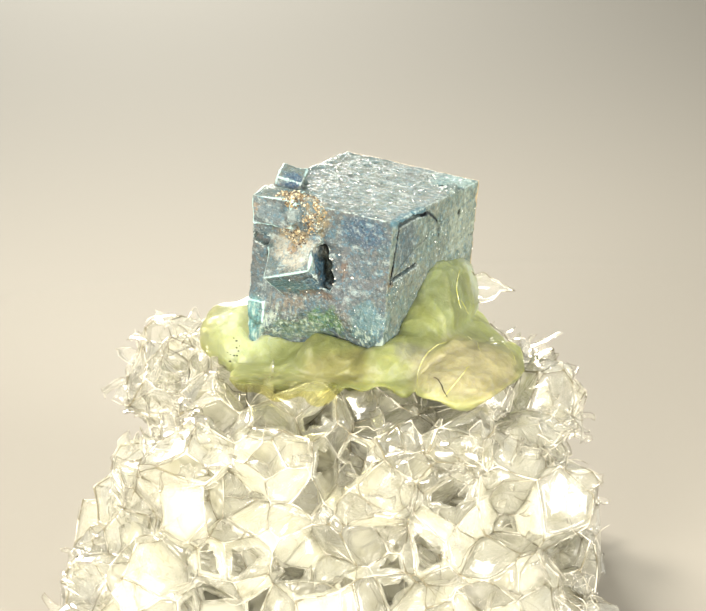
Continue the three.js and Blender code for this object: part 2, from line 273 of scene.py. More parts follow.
def set_floor_and_light():
    """A plain pale floor, four soft lamps and an even sky."""
    # Matt paper, a warm light grey that these lamps make pale but do not burn out: even and without shine, so
    # that it only carries the soft shadow.
    paper = bpy.data.materials.new("pale_matt_paper_sweep")
    paper.use_nodes = True
    body = paper.node_tree.nodes["Principled BSDF"]
    body.inputs["Base Color"].default_value = linear("#7f7b73")
    body.inputs["Roughness"].default_value = 0.9
    half = 700.0  # of its width
    floor = mesh_object(
        "floor", [(-half, -half, 0), (half, -half, 0), (half, half, 0), (-half, half, 0)], [(0, 1, 2, 3)]
    )
    floor.data.transform(Matrix.Scale(MM, 4))
    floor.data.materials.append(paper)

    soft_box("key_behind_left", (-60, 50, 115), (0, -2, 8), 45, 0.04, "#fff6e6", 60)
    soft_box("front_left", (-60, -125, 38), (0, -4, 6), 60, 0.099, "#fff8ea", 70)
    soft_box("front_right", (105, -90, 45), (0, -4, 6), 70, 0.087, "#fff9ee", 75)
    # Low light through the foam from far behind, which makes it and the putty glow.
    soft_box("glow_behind", (-30, 260, 26), (0, 0, 5), 50, 0.052, "#fffbee", 32)
    world = bpy.data.worlds.new("studio")
    world.use_nodes = True
    world.node_tree.nodes["Background"].inputs["Color"].default_value = linear("#e2e0d4")
    world.node_tree.nodes["Background"].inputs["Strength"].default_value = 0.85
    scene.world = world
    scene.view_settings.view_transform = "Standard"
    # Light goes from wall to wall many times inside the foam before it comes out again.
    scene.cycles.max_bounces = 6
    scene.cycles.diffuse_bounces = 3
    scene.cycles.transparent_max_bounces = 14


# ---- the crystal ----

# The crystal's own frame: its middle and its turn in the row frame. X runs across the front face, Y into the
# depth and Z up; the front face is at Y -2.9, the right face at X 2.3 and the top at Z 2.375.
CRYSTAL = {"at": (0.78, 1.58, 10.14), "turn": (0.9, 4.57, -27.98), "half": (2.3, 2.9, 2.375)}
CRYSTAL_TURN = turned(CRYSTAL["turn"])
CRYSTAL_GRAIN = 0.048  # the size of the fine mesh's faces


def in_crystal(at):
    """Points of the row frame in the crystal's own frame."""
    return (np.asarray(at) - np.array(CRYSTAL["at"])) @ np.array(CRYSTAL_TURN)


# Places of colour on the crystal, in its own frame: centre, reach, colour, strength and how ragged the edge.
CRUST_SPOTS = (
    ("crust at the top", (-0.9, -2.75, 2.42), (0.6, 0.5, 0.26), "#7f7257", 0.7, 1.5),
    ("crust beside the block", (-0.22, -2.85, 1.95), (0.36, 0.5, 0.52), "#6d6148", 0.85, 1.5),
    ("crust above the cube", (-0.8, -2.9, 1.3), (0.62, 0.5, 0.26), "#7a6d53", 0.8, 1.6),
)
CRYSTAL_SPOTS = (
    ("slate patch on the front", (1.42, -2.9, 1.86), (0.9, 0.6, 0.56), "#33475a", 0.85, 0.5),
    ("mauve grey on the front", (0.9, -2.9, 0.4), (1.2, 0.6, 1.2), "#5b6066", 0.5, 1.0),
    ("aqua at the low corner", (1.75, -2.9, -0.9), (0.75, 0.7, 0.9), "#587678", 0.65, 0.9),
    ("tan below the cube", (-0.95, -2.9, -0.75), (0.75, 0.6, 0.4), "#6f665a", 0.6, 1.3),
    ("grey at the left", (-1.7, -2.9, -0.3), (0.7, 0.6, 0.8), "#5d676a", 0.6, 1.0),
    # Painted reflection: the green over the undercut and at the foot stands in for the light that the putty
    # throws back onto the crystal.
    ("green over the undercut", (0.25, -2.7, -1.15), (0.75, 0.8, 0.55), "#4c6a45", 0.85, 0.9),
    ("green at the foot", (-0.6, -2.6, -1.75), (1.3, 0.9, 0.42), "#627560", 0.75, 1.0),
    ("teal slab", (-2.05, -2.95, -1.6), (0.42, 0.4, 0.85), "#5c8c8b", 0.8, 0.3),
    # Partly painted light: the cube's top is its own cream, made paler for the light that falls on it.
    ("cream top of the cube", (-0.62, -3.1, 0.95), (1.0, 1.3, 0.55), "#a9a79a", 0.85, 0.4),
    ("brown on the cube", (-0.75, -3.05, 1.02), (0.4, 0.5, 0.26), "#8a7560", 0.8, 2.0),
    # Painted shade: the cube's underside is coloured a dark teal for the shade under it.
    ("teal under the cube", (-0.62, -3.3, -0.22), (0.9, 0.8, 0.38), "#3c5a5c", 0.85, 0.5),
    # Painted shadow: the perched cube's right side and the hollow beyond it lie in deep shade, and are
    # coloured dark blue to near black for it.
    ("dark side of the cube", (0.2, -2.95, 0.62), (0.34, 0.8, 0.85), "#12222c", 0.95, 0.7),
    ("blue side of the cube", (0.0, -3.0, 0.5), (0.36, 0.6, 0.75), "#1f4356", 0.85, 0.8),
    ("black hollow", (0.34, -2.8, 0.5), (0.2, 0.7, 0.62), "#070a0c", 0.98, 0.9),
    ("pale face of the block", (-0.86, -3.05, 2.0), (0.34, 0.25, 0.34), "#8b9695", 0.85, 0.5),
    ("grey corner block", (-1.7, -3.0, 1.9), (0.6, 0.4, 0.42), "#66757a", 0.75, 0.8),
    ("rust at the corner block", (-2.1, -2.95, 2.0), (0.2, 0.3, 0.25), "#84725c", 0.6, 1.6),
    ("dark ledge", (-2.0, -2.95, 1.12), (0.32, 0.3, 0.22), "#2f4248", 0.85, 0.7),
    ("rust below the cube", (-0.1, -2.95, -0.3), (0.75, 0.3, 0.16), "#5e4c3c", 0.7, 1.6),
    ("rust by the white grain", (0.82, -2.92, 0.62), (0.16, 0.2, 0.3), "#66564a", 0.7, 1.5),
    ("dark top block", (-1.75, -1.75, 2.55), (0.42, 0.3, 0.4), "#2a4560", 0.85, 0.6),
    ("blue band", (2.3, -1.9, 2.3), (0.25, 1.35, 0.2), "#3f6a7a", 0.8, 0.7),
    ("slate panel", (2.3, -1.8, 1.45), (0.35, 0.85, 0.85), "#3d4d58", 0.65, 0.7),
    ("rust in the gash", (2.3, -2.68, 0.55), (0.14, 0.2, 0.35), "#5c4a2c", 0.9, 0.8),
    # Painted shade: the pit on the top is coloured dark for the shade in it.
    ("pit on the top", (1.73, 1.55, 2.3), (0.28, 0.2, 0.25), "#20353d", 0.9, 0.6),
    ("pale rear of the right side", (2.3, 1.9, 1.2), (0.4, 1.2, 1.3), "#8d9687", 0.7, 1.0),
    ("aqua at the top corner", (1.7, 2.2, 2.4), (0.8, 0.8, 0.3), "#7fa3a3", 0.5, 1.0),
)

# Smaller crystals grown on it, as in the solid: the arrises of these are paled the most, partly for wear
# and partly as a painted edge highlight.
GROWN_CRYSTALS = {
    "perched cube": {"size": (1.64, 1.5, 1.34), "at": (-0.62, -2.74, 0.34), "turn": (-43.5, -14, -16)},
    "corner block": {"size": (1.3, 0.95, 0.9), "at": (-1.64, -2.62, 1.96), "turn": (4, -2, 5)},
    "block beside it": {"size": (0.62, 0.7, 0.7), "at": (-0.86, -2.72, 2.06), "turn": (8, 18, 24)},
    "top bump": {"size": (0.78, 0.92, 0.88), "at": (-1.93, -1.5, 2.32), "turn": (9, 14, 18)},
    "foot slab": {"size": (0.62, 0.36, 1.34), "at": (-2.0, -2.84, -1.62), "turn": (0, 0, 1)},
}

# Lines on the faces, in the crystal's own frame: what each is, its strength, its half-width and its points.
# A seam is an open crack round the sunk panel of the right face, painted near black as painted shadow.
# The other lines are pale tan arrises: partly rust, and along the two rear edges partly a painted rim
# highlight of the light from behind.
FACE_LINES = (
    ("seam", 1.0, 0.13, ((2.3, -2.4, 2.16), (2.3, -2.5, 1.4), (2.3, -2.64, 0.5))),
    ("seam", 0.85, 0.07, ((2.3, -2.4, 2.16), (2.3, -1.5, 2.22), (2.3, -0.5, 2.1))),
    ("seam", 0.35, 0.05, ((2.3, -2.64, 0.5), (2.3, -1.9, 0.86), (2.3, -0.96, 1.2), (2.3, -0.3, 1.3))),
    ("seam", 0.6, 0.07, ((2.3, -0.5, 2.1), (2.3, 0.1, 1.75), (2.3, 0.35, 1.2))),
    ("gilt", 1.0, 0.13, ((-2.3, 2.9, 2.375), (2.3, 2.9, 2.375))),
    ("gilt", 1.0, 0.12, ((2.3, 2.9, 2.375), (2.3, 2.9, -2.3))),
    ("gilt", 0.7, 0.07, ((-2.25, -3.1, 2.42), (-1.05, -3.1, 2.42))),
)

# Bands where glittering grains lie thickest: half-width, and the points along the middle.
SPARKLE_BANDS = (
    (0.5, ((2.3, -2.6, 0.3), (2.3, -1.5, 0.65), (2.3, -0.4, 1.4))),
    (0.4, ((2.3, -2.75, -1.1), (2.3, -2.6, 0.3))),
    (0.35, ((2.3, -2.9, -2.0), (1.5, -2.9, -1.6), (0.7, -2.9, -1.1))),
    (0.5, ((1.9, 1.2, 2.375), (0.9, 2.2, 2.375))),
)


def stands_proud(mesh, at, normals, rounds):
    """How far each corner stands out from what is round it. In a hollow it is less than nothing."""
    pairs = np.empty(len(mesh.edges) * 2, np.int64)
    mesh.edges.foreach_get("vertices", pairs)
    a, b = pairs.reshape(-1, 2).T
    share = np.bincount(a, minlength=len(at)) + np.bincount(b, minlength=len(at))
    flat = at.copy()
    for _ in range(rounds):
        total = np.stack(
            [np.bincount(a, flat[b, k], len(at)) + np.bincount(b, flat[a, k], len(at)) for k in range(3)], 1
        )
        flat = 0.3 * flat + 0.7 * total / share[:, None]
    return ((at - flat) * normals).sum(1)


def block_edges(size, at, turn):
    """The twelve edges of a block, as pairs of points."""
    place, spin = Vector(at), turned(turn)
    corner = {
        signs: place + spin @ Vector(s * c / 2 for s, c in zip(signs, size))
        for signs in product((-1, 1), repeat=3)
    }
    for signs, point in corner.items():
        for axis in range(3):
            if signs[axis] < 0:
                other = tuple(1 if k == axis else sign for k, sign in enumerate(signs))
                yield tuple(point), tuple(corner[other])


def make_crystal():
    """The solid with a fine granular skin on it: growth ripples, open seams, pits, and arrises marked to be
    paled, partly for wear and partly as a painted edge highlight.
    """
    crystal = merged_copy("crystal", "boleite_crystal")
    crystal = modified(crystal, "REMESH", mode="VOXEL", voxel_size=CRYSTAL_GRAIN)
    mesh = crystal.data
    at, normals = corners_of(mesh)
    own = in_crystal(at)
    sharp = stands_proud(mesh, at, normals, 4)
    sharp = sharp / np.quantile(sharp, 0.985)
    broad = stands_proud(mesh, at, normals, 14)
    # The upper part of the arris beside the open seam isn't paled.
    kept_dark = smoothstep(0.45, 0.15, near_line(own, ((2.3, -2.9, -0.4), (2.3, -2.9, 2.1))))
    set_attribute(mesh, "edge", np.clip(sharp, 0, 1) * (1 - 0.85 * kept_dark))
    set_attribute(mesh, "hollow", np.clip(-broad, 0, None))

    rim = np.zeros(len(at))
    for block in GROWN_CRYSTALS.values():
        for ends in block_edges(**block):
            rim = np.maximum(rim, smoothstep(0.075, 0.02, near_line(own, ends)))
    set_attribute(
        mesh, "rim", rim * smoothstep(0.1, 0.5, sharp) * smoothstep(-0.45, 0.15, field(own, 2.2, 37))
    )
    drawn = {"seam": np.zeros(len(at)), "gilt": np.zeros(len(at))}
    for kind, strength, half_width, points in FACE_LINES:
        # A seam lies in the right face whatever the panel's depth, so depth counts for little there.
        depth = np.array([0.2, 1, 1]) if kind == "seam" else np.ones(3)
        shaken = near_line((own + 0.04 * vector_field(own, 2.5, 19)) * depth, np.array(points) * depth)
        drawn[kind] = np.maximum(drawn[kind], strength * smoothstep(half_width, 0.35 * half_width, shaken))
    for kind, values in drawn.items():
        set_attribute(mesh, kind, values)

    out = normals @ np.array(CRYSTAL_TURN)
    right, top = smoothstep(0.7, 0.9, out[:, 0]), smoothstep(0.7, 0.9, out[:, 2])
    foot = smoothstep(-0.4, -1.6, own[:, 2]) * smoothstep(-2.2, -2.7, own[:, 1])
    set_attribute(mesh, "foot", foot)
    low_right = right * smoothstep(-1.9, 0.2, 0.55 * own[:, 1] - own[:, 2])
    bands = sum(smoothstep(half_width, 0.0, near_line(own, points)) for half_width, points in SPARKLE_BANDS)
    patchy = 0.1 + 1.3 * smoothstep(-0.1, 0.5, field(own, 1.6, 71))
    set_attribute(mesh, "sparkle", (0.08 + 0.15 * top + 0.6 * low_right + 0.8 * foot + 2.4 * bands) * patchy)
    crust = np.zeros(len(at))
    for _, centre, reach, _, _, _ in CRUST_SPOTS:
        far = np.linalg.norm((own - centre) / reach, axis=1)
        crust = np.maximum(crust, smoothstep(1.15, 0.5, far + 0.5 * field(own, 2.4, 83)))
    set_attribute(mesh, "crust", crust)

    ripple = 0.018 * field(own * [1, 1, 0.6], 1.8, 3)
    grain = (0.014 + 0.006 * right + 0.012 * foot) * field(own, 6.0, 11)
    fine = (0.010 + 0.006 * right + 0.006 * foot) * field(own, 10.0, 29)
    pits = -0.035 * smoothstep(0.42, 0.7, field(own, 3.1, 47))
    broken = smoothstep(0.75, 0.35, np.linalg.norm((own - CAVITY) * [1, 0.5, 0.62], axis=1))
    ragged = 0.15 * broken * field(own, 3.0, 91)
    heaped = crust * (0.03 + 0.05 * np.abs(field(own, 4.0, 17)))
    left = smoothstep(-0.3, -0.9, own[:, 0])
    grown = left * smoothstep(-2.3, -2.7, own[:, 1]) * smoothstep(0.2, 1.0, own[:, 2])
    top_block = smoothstep(2.2, 2.6, own[:, 2]) * smoothstep(-1.2, -1.6, own[:, 0])
    uneven = 0.045 * (grown + top_block) * field(own, 2.8, 53)
    height = ripple + grain + fine + pits + ragged + heaped + uneven - 0.08 * drawn["seam"]
    set_corners(mesh, at + normals * height[:, None])
    return crystal


# The dark cavity to the right of the perched cube, and the pale grains in it and along its far side, as their
# place across and up the front face and their radius.
CAVITY = (0.28, -2.9, 0.55)
PALE_GRAINS = (
    (1.12, 0.42, 0.054),
    (0.55, 1.02, 0.043),
    (0.5, 0.8, 0.036),
    (0.58, 0.6, 0.029),
    (0.52, 0.3, 0.036),
    (0.3, 0.86, 0.025),
    (0.34, 0.5, 0.022),
    (0.4, 0.12, 0.032),
    (0.22, 0.22, 0.022),
    (0.86, 0.62, 0.025),
    (-0.3, -0.36, 0.029),
    (0.12, -0.3, 0.025),
)


def lump(at, radii, detail=1):
    """Builds a small faceted lump into a bmesh."""

    def build(whole):
        place = Matrix.Translation(at) @ Matrix.Diagonal((*radii, 1))
        bmesh.ops.create_icosphere(whole, subdivisions=detail, radius=1, matrix=place)

    return build


def pale_grains(crystal_skin):
    """The single grains, each set a little way into the crystal's skin."""
    lumps = []
    for across, up, radius in PALE_GRAINS:
        aim = Vector(CRYSTAL["at"]) + CRYSTAL_TURN @ Vector((across, -3.0, up))
        at = crystal_skin.find_nearest(aim)[0]
        lumps.append(lump(at, (radius, radius, 0.8 * radius)))
    return joined_mesh("pale_grains", lumps)


def grain_tree():
    """Sets small crystals in a surface, as thickly as an attribute says, each turned and sized at random."""
    tree = bpy.data.node_groups.new("grown_grains", "GeometryNodeTree")
    tree.interface.new_socket("Geometry", in_out="OUTPUT", socket_type="NodeSocketGeometry")
    for name, kind in (
        ("Geometry", "NodeSocketGeometry"),
        ("Where", "NodeSocketString"),
        ("Density", "NodeSocketFloat"),
        ("Smallest", "NodeSocketFloat"),
        ("Largest", "NodeSocketFloat"),
        ("Round", "NodeSocketBool"),
        ("Seed", "NodeSocketInt"),
        ("Material", "NodeSocketMaterial"),
    ):
        tree.interface.new_socket(name, in_out="INPUT", socket_type=kind)
    start = add(tree, "NodeGroupInput").outputs
    where = add(
        tree, "GeometryNodeInputNamedAttribute", {"Name": start["Where"]}, data_type="FLOAT"
    ).outputs["Attribute"]
    density = add(tree, "ShaderNodeMath", {0: where, 1: start["Density"]}, operation="MULTIPLY").outputs[0]
    given = {"Mesh": start["Geometry"], "Density": density, "Seed": start["Seed"]}
    spread = add(tree, "GeometryNodeDistributePointsOnFaces", given).outputs
    cube = add(tree, "GeometryNodeMeshCube", {"Size": (1.7, 0.75, 0.7)}).outputs[0]
    bead = add(tree, "GeometryNodeMeshIcoSphere", {"Radius": 0.6, "Subdivisions": 1}).outputs[0]
    shape = add(
        tree, "GeometryNodeSwitch", {0: start["Round"], 1: cube, 2: bead}, input_type="GEOMETRY"
    ).outputs[0]
    turn = add(
        tree, "FunctionNodeRandomValue", {0: (0, 0, 0), 1: (6.28, 6.28, 6.28)}, data_type="FLOAT_VECTOR"
    )
    # Most grains are small and a few are large, and each has its own proportions.
    luck = add(
        tree, "FunctionNodeRandomValue", {2: 0.0, 3: 1.0, "Seed": start["Seed"]}, data_type="FLOAT"
    ).outputs[1]
    rare = add(tree, "ShaderNodeMath", {0: luck, 1: 2.5}, operation="POWER").outputs[0]
    across = add(
        tree, "ShaderNodeMapRange", {"Value": rare, "To Min": start["Smallest"], "To Max": start["Largest"]}
    )
    build = add(
        tree,
        "FunctionNodeRandomValue",
        {0: (0.6, 0.6, 0.6), 1: (1.4, 1.4, 1.4), "Seed": 9},
        data_type="FLOAT_VECTOR",
    )
    size = add(
        tree, "ShaderNodeVectorMath", {0: build.outputs[0], "Scale": across.outputs[0]}, operation="SCALE"
    ).outputs[0]
    placed = add(
        tree,
        "GeometryNodeInstanceOnPoints",
        {"Points": spread["Points"], "Instance": shape, "Rotation": turn.outputs[0], "Scale": size},
    ).outputs[0]
    tone = add(tree, "FunctionNodeRandomValue", {2: 0.0, 3: 1.0, "Seed": 5}, data_type="FLOAT").outputs[1]
    toned = add(
        tree,
        "GeometryNodeStoreNamedAttribute",
        {"Geometry": placed, "Name": "tone", "Value": tone},
        data_type="FLOAT",
        domain="INSTANCE",
    ).outputs[0]
    real = add(tree, "GeometryNodeRealizeInstances", {"Geometry": toned}).outputs[0]
    done = add(tree, "GeometryNodeSetMaterial", {"Geometry": real, "Material": start["Material"]}).outputs[0]
    add(tree, "NodeGroupOutput", {0: done})
    return tree


def grains_on(crystal, name, tree, **inputs):
    """A crust of grains grown on the crystal's fine mesh, as a piece of its own."""
    made = bpy.data.objects.new(name, crystal.data.copy())
    scene.collection.objects.link(made)
    return grown_by_nodes(made, tree, **inputs)


def grain_material(name, dark, coats, roughness, ior):
    """Grains that differ in colour: coats of colour over the darkest, by each grain's own tone."""
    made = bpy.data.materials.new(name)
    made.use_nodes = True
    tree = made.node_tree
    body = tree.nodes["Principled BSDF"]
    tone = add(tree, "ShaderNodeAttribute", attribute_name="tone").outputs["Fac"]
    colour = coated(tree, linear(dark), [(tone, start, full, 1.0, tint) for start, full, tint in coats])
    tree.links.new(colour, body.inputs["Base Color"])
    body.inputs["Roughness"].default_value = roughness
    body.inputs["IOR"].default_value = ior
    return made


def spot_group():
    """A shader group: 1 inside an ellipsoid, fading to 0 outside it, with an edge broken by noise."""
    group = bpy.data.node_groups.new("soft_spot", "ShaderNodeTree")
    for name, kind in (
        ("Place", "NodeSocketVector"),
        ("Centre", "NodeSocketVector"),
        ("Reach", "NodeSocketVector"),
        ("Ragged", "NodeSocketFloat"),
        ("Noise", "NodeSocketFloat"),
    ):
        group.interface.new_socket(name, in_out="INPUT", socket_type=kind)
    group.interface.new_socket("Mask", in_out="OUTPUT", socket_type="NodeSocketFloat")
    start = add(group, "NodeGroupInput").outputs
    away = add(group, "ShaderNodeVectorMath", {0: start["Place"], 1: start["Centre"]}, operation="SUBTRACT")
    share = add(group, "ShaderNodeVectorMath", {0: away.outputs[0], 1: start["Reach"]}, operation="DIVIDE")
    far = add(group, "ShaderNodeVectorMath", {0: share.outputs[0]}, operation="LENGTH")
    given = {0: start["Noise"], 1: start["Ragged"], 2: far.outputs["Value"]}
    shaken = add(group, "ShaderNodeMath", given, operation="MULTIPLY_ADD")
    mask = add(
        group,
        "ShaderNodeMapRange",
        {"Value": shaken.outputs[0], "From Min": 1.1, "From Max": 0.55, "To Min": 0.0, "To Max": 1.0},
        interpolation_type="SMOOTHSTEP",
    )
    add(group, "NodeGroupOutput", {0: mask.outputs[0]})
    return group


def crystal_material():
    """Boleite, a lead-copper chloride, grown as a pseudo-cube: its glassy faces are dulled to a powdery slate
    blue by a fine granular skin, with pale arrises that are partly wear and partly a painted edge highlight,
    rusty stains and glints from single grains."""
    made = bpy.data.materials.new("boleite_granular_grown_faces")
    made.use_nodes = True
    tree = made.node_tree
    tree.nodes.clear()
    place = add(tree, "ShaderNodeTexCoord").outputs["Object"]
    back = CRYSTAL_TURN.transposed()
    own = add(
        tree,
        "ShaderNodeMapping",
        {
            "Vector": place,
            "Location": -(back @ Vector(CRYSTAL["at"])),
            "Rotation": back.to_euler("XYZ"),
            "Scale": (1 / MM,) * 3,
        },
        vector_type="POINT",
    ).outputs[0]
    normal = add(tree, "ShaderNodeNewGeometry").outputs["Normal"]
    facing = [
        add(
            tree,
            "ShaderNodeVectorMath",
            {0: normal, 1: tuple(sign * CRYSTAL_TURN.col[axis])},
            operation="DOT_PRODUCT",
        ).outputs["Value"]
        for axis, sign in ((2, 1), (0, 1))
    ]
    top, right = [
        add(
            tree,
            "ShaderNodeMapRange",
            {"Value": f, "From Min": 0.45, "From Max": 0.8, "To Min": 0.0, "To Max": 1.0},
        ).outputs[0]
        for f in facing
    ]

    # Blotches about 0.8 mm across, stains of 0.4 mm, grains of about 0.1 mm and a powder finer than that.
    blotch, stain, grain, powder = [
        add(
            tree, "ShaderNodeTexNoise", {"Vector": own, "Scale": scale, "Detail": 3.0, "Roughness": 0.65}
        ).outputs["Fac"]
        for scale in (1.2, 2.6, 7.0, 15.0)
    ]
    long_grain = add(
        tree, "ShaderNodeMapping", {"Vector": own, "Rotation": (0, 0, 0.5), "Scale": (1.3, 3.4, 2.2)}
    ).outputs[0]
    streaks = add(
        tree, "ShaderNodeTexNoise", {"Vector": long_grain, "Scale": 1.6, "Detail": 4.0, "Roughness": 0.7}
    ).outputs["Fac"]
    fibrous = add(
        tree, "ShaderNodeMapping", {"Vector": own, "Rotation": (0, 0.55, 0), "Scale": (7.0, 7.0, 1.6)}
    ).outputs[0]
    fibres = add(tree, "ShaderNodeTexNoise", {"Vector": fibrous, "Scale": 1.4, "Detail": 2.0}).outputs["Fac"]
    flakes = add(tree, "ShaderNodeTexVoronoi", {"Vector": own, "Scale": 13.0})
    lot = add(tree, "ShaderNodeSeparateColor", {0: flakes.outputs["Color"]}).outputs

    # Each face has its own colour. The right face is paler and greener than the front: partly its own tint,
    # and partly painted light.
    front = coated(
        tree, linear("#4b5759"), [(blotch, 0.4, 0.62, 1.0, "#5a5752"), (stain, 0.5, 0.66, 0.6, "#3f5661")]
    )
    upper = coated(
        tree, linear("#4d5e5d"), [(blotch, 0.42, 0.6, 1.0, "#5b635e"), (stain, 0.52, 0.66, 0.5, "#4d6a72")]
    )
    side = coated(
        tree, linear("#647166"), [(blotch, 0.4, 0.6, 1.0, "#707568"), (stain, 0.52, 0.66, 0.5, "#51665f")]
    )
    colour = add(tree, "ShaderNodeMix", {0: right, 6: front, 7: side}, data_type="RGBA").outputs[2]
    colour = add(tree, "ShaderNodeMix", {0: top, 6: colour, 7: upper}, data_type="RGBA").outputs[2]

    spots = spot_group()
    ragged = add(
        tree,
        "ShaderNodeMapRange",
        {"Value": stain, "From Min": 0.3, "From Max": 0.7, "To Min": -0.5, "To Max": 0.5},
    ).outputs[0]
    for name, centre, reach, tint, strength, rag in CRYSTAL_SPOTS + CRUST_SPOTS:
        given = {"Place": own, "Centre": centre, "Reach": reach, "Ragged": rag, "Noise": ragged}
        spot = add(tree, "ShaderNodeGroup", given, node_tree=spots, label=name)
        colour = coated(tree, colour, [(spot.outputs[0], 0.0, 1.0, strength, tint)])

    # Every flake has its own tone, the gaps between grains are painted dark as painted shade, and the powder
    # on their tips is pale.
    hollow, edge, rim, seam, gilt = [
        add(tree, "ShaderNodeAttribute", attribute_name=name).outputs["Fac"]
        for name in ("hollow", "edge", "rim", "seam", "gilt")
    ]
    worn_and_lit_edge = add(tree, "ShaderNodeMath", {0: edge, 1: powder}, operation="MULTIPLY").outputs[0]
    foot = add(tree, "ShaderNodeAttribute", attribute_name="foot").outputs["Fac"]
    combed = add(tree, "ShaderNodeMath", {0: fibres, 1: 0.5}, operation="SUBTRACT").outputs[0]
    combed = add(tree, "ShaderNodeMath", {0: combed, 1: foot}, operation="MULTIPLY").outputs[0]
    colour = coated(
        tree,
        colour,
        [
            (lot["Red"], 0.4, 0.05, 0.2, "#2b383d"),
            (lot["Green"], 0.75, 0.95, 0.2, "#8a8272"),
            (lot["Blue"], 0.7, 0.95, 0.45, "#4c7385"),
            (streaks, 0.45, 0.33, 0.5, "#34444b"),
            (streaks, 0.55, 0.66, 0.5, "#a4b2af"),
            # Painted shade: the low parts of the grain are darkened for the shade between grains.
            (grain, 0.47, 0.33, 0.45, "#2a363c"),
            (powder, 0.57, 0.70, 0.45, "#a4b0ad"),
            (combed, 0.03, 0.14, 0.55, "#b3c0b0"),
            (combed, -0.03, -0.14, 0.6, "#2a3a2c"),
            # Painted shade: the hollows are darkened for the shade that falls in them.
            (hollow, 0.012, 0.06, 0.85, "#182022"),
            # Painted edge highlight: the arrises, and most of all those of the grown crystals, are paled
            # partly for wear and partly as a painted edge highlight.
            (worn_and_lit_edge, 0.3, 0.5, 0.55, "#b9c6c2"),
            (rim, 0.15, 0.9, 0.8, "#b3d2d0"),
            # Partly rust, and along the two rear edges partly a painted rim highlight of the light from
            # behind.
            (gilt, 0.1, 0.9, 0.55, "#c9ae85"),
            # Painted shadow: the open seams are coloured near black for the shadow inside the cracks.
            (seam, 0.1, 0.6, 0.97, "#0c171e"),
        ],
    )
    glint = add(
        tree,
        "ShaderNodeMapRange",
        {"Value": lot["Red"], "From Min": 0.9, "From Max": 1.0, "To Min": 0.6, "To Max": 0.2},
    ).outputs[0]

    colour = add(
        tree, "ShaderNodeHueSaturation", {"Color": colour, "Saturation": 1.06, "Value": 0.81}
    ).outputs[0]

    height = add(tree, "ShaderNodeMath", {0: grain, 1: 1.2, 2: powder}, operation="MULTIPLY_ADD").outputs[0]
    bump = add(tree, "ShaderNodeBump", {"Height": height, "Strength": 0.9, "Distance": 0.06 * MM})
    skin = add(
        tree,
        "ShaderNodeBsdfPrincipled",
        {
            "Base Color": colour,
            "Roughness": glint,
            "IOR": 2.04,
            "Specular IOR Level": 0.12,
            "Normal": bump.outputs[0],
        },
    )
    add(tree, "ShaderNodeOutputMaterial", {"Surface": skin.outputs[0]})
    return made


# ---- the mounting putty ----

# Folds of putty pressed round the crystal's foot, as in the solid: each is the smooth skin round its own few
# lumps, given by centre and radii.
PUTTY_FOLDS = (
    (
        ((0.6, 1.3, 7.4), (3.4, 4.2, 0.75)),
        ((-0.5, -1.5, 7.4), (2.7, 1.75, 0.62)),
        ((1.6, -1.9, 7.4), (1.8, 1.2, 0.64)),
    ),
    (((-0.4, -1.2, 7.9), (0.8, 0.9, 0.75)), ((0.9, -1.9, 7.5), (1.0, 0.9, 0.7))),
    (
        ((1.3, -2.1, 7.75), (0.9, 0.8, 0.78)),
        ((2.5, -1.3, 7.9), (0.95, 1.0, 0.85)),
        ((3.2, -0.9, 7.5), (1.2, 1.3, 0.75)),
    ),
    (((-2.55, 1.3, 7.8), (1.6, 1.9, 0.95)), ((-1.7, 4.2, 7.4), (1.5, 1.3, 0.75))),
    (
        ((-0.2, 4.5, 7.4), (1.7, 1.4, 0.85)),
        ((1.4, 4.6, 7.6), (1.0, 0.9, 0.9)),
        ((3.4, 3.6, 7.3), (1.3, 1.3, 0.7)),
    ),
    (
        ((2.5, -0.6, 8.3), (0.85, 0.9, 0.95)),
        ((3.0, 0.8, 8.75), (0.85, 1.3, 1.5)),
        ((3.6, 2.5, 8.8), (0.75, 0.9, 1.1)),
    ),
    (
        ((3.8, 1.3, 7.6), (1.1, 1.45, 0.7)),
        ((4.3, 0.0, 7.5), (1.15, 1.3, 0.68)),
        ((3.3, -1.0, 7.7), (1.2, 1.2, 0.8)),
    ),
    (((4.0, -1.5, 7.5), (1.5, 1.7, 0.78)), ((3.5, -2.9, 7.4), (1.2, 1.3, 0.68))),
)
PUTTY_GRAIN = 0.08
# In front, what hangs lower than a height is pressed thin against the foam, here more and there less.
SMEAR = {"height": 7.8, "least": 0.25, "most": 0.85}
# Tongues of putty smeared down between the foam's cells: centre and radii.
TONGUES = (
    ((-2.7, -2.0, 7.5), (0.5, 0.5, 0.4)),
    ((-1.7, -2.75, 7.35), (0.42, 0.4, 0.5)),
    ((-0.35, -3.1, 7.2), (0.6, 0.35, 0.55)),
    ((0.75, -3.15, 7.3), (0.3, 0.35, 0.5)),
    ((1.9, -2.9, 7.25), (0.4, 0.4, 0.45)),
)
# Where it is pushed down along the crystal's foot: place, reach across and in depth, and how far down.
PRESSED = (((-2.4, -1.0), (1.7, 1.7), 0.4), ((-0.4, -2.1), (1.3, 1.3), 0.3))
# The edge of the cream lobe, where it lies folded over the putty behind it, seen from above, and how high it
# stands.
LOBE_EDGE = (
    (2.37, -3.3),
    (2.35, -2.58),
    (2.56, -2.23),
    (2.92, -1.89),
    (3.41, -1.25),
    (3.71, -1.21),
    (4.02, -0.85),
    (4.38, -0.85),
    (4.9, -0.3),
)
LOBE_STEP = 0.11
# The thin lower lip begins at one level and is thinnest at the other. A place's level is its height, plus a
# share of its depth and of how far right it lies.
LIP = {"rise": [0.068, 0.325, 1.0], "from": 7.15, "to": 6.45}


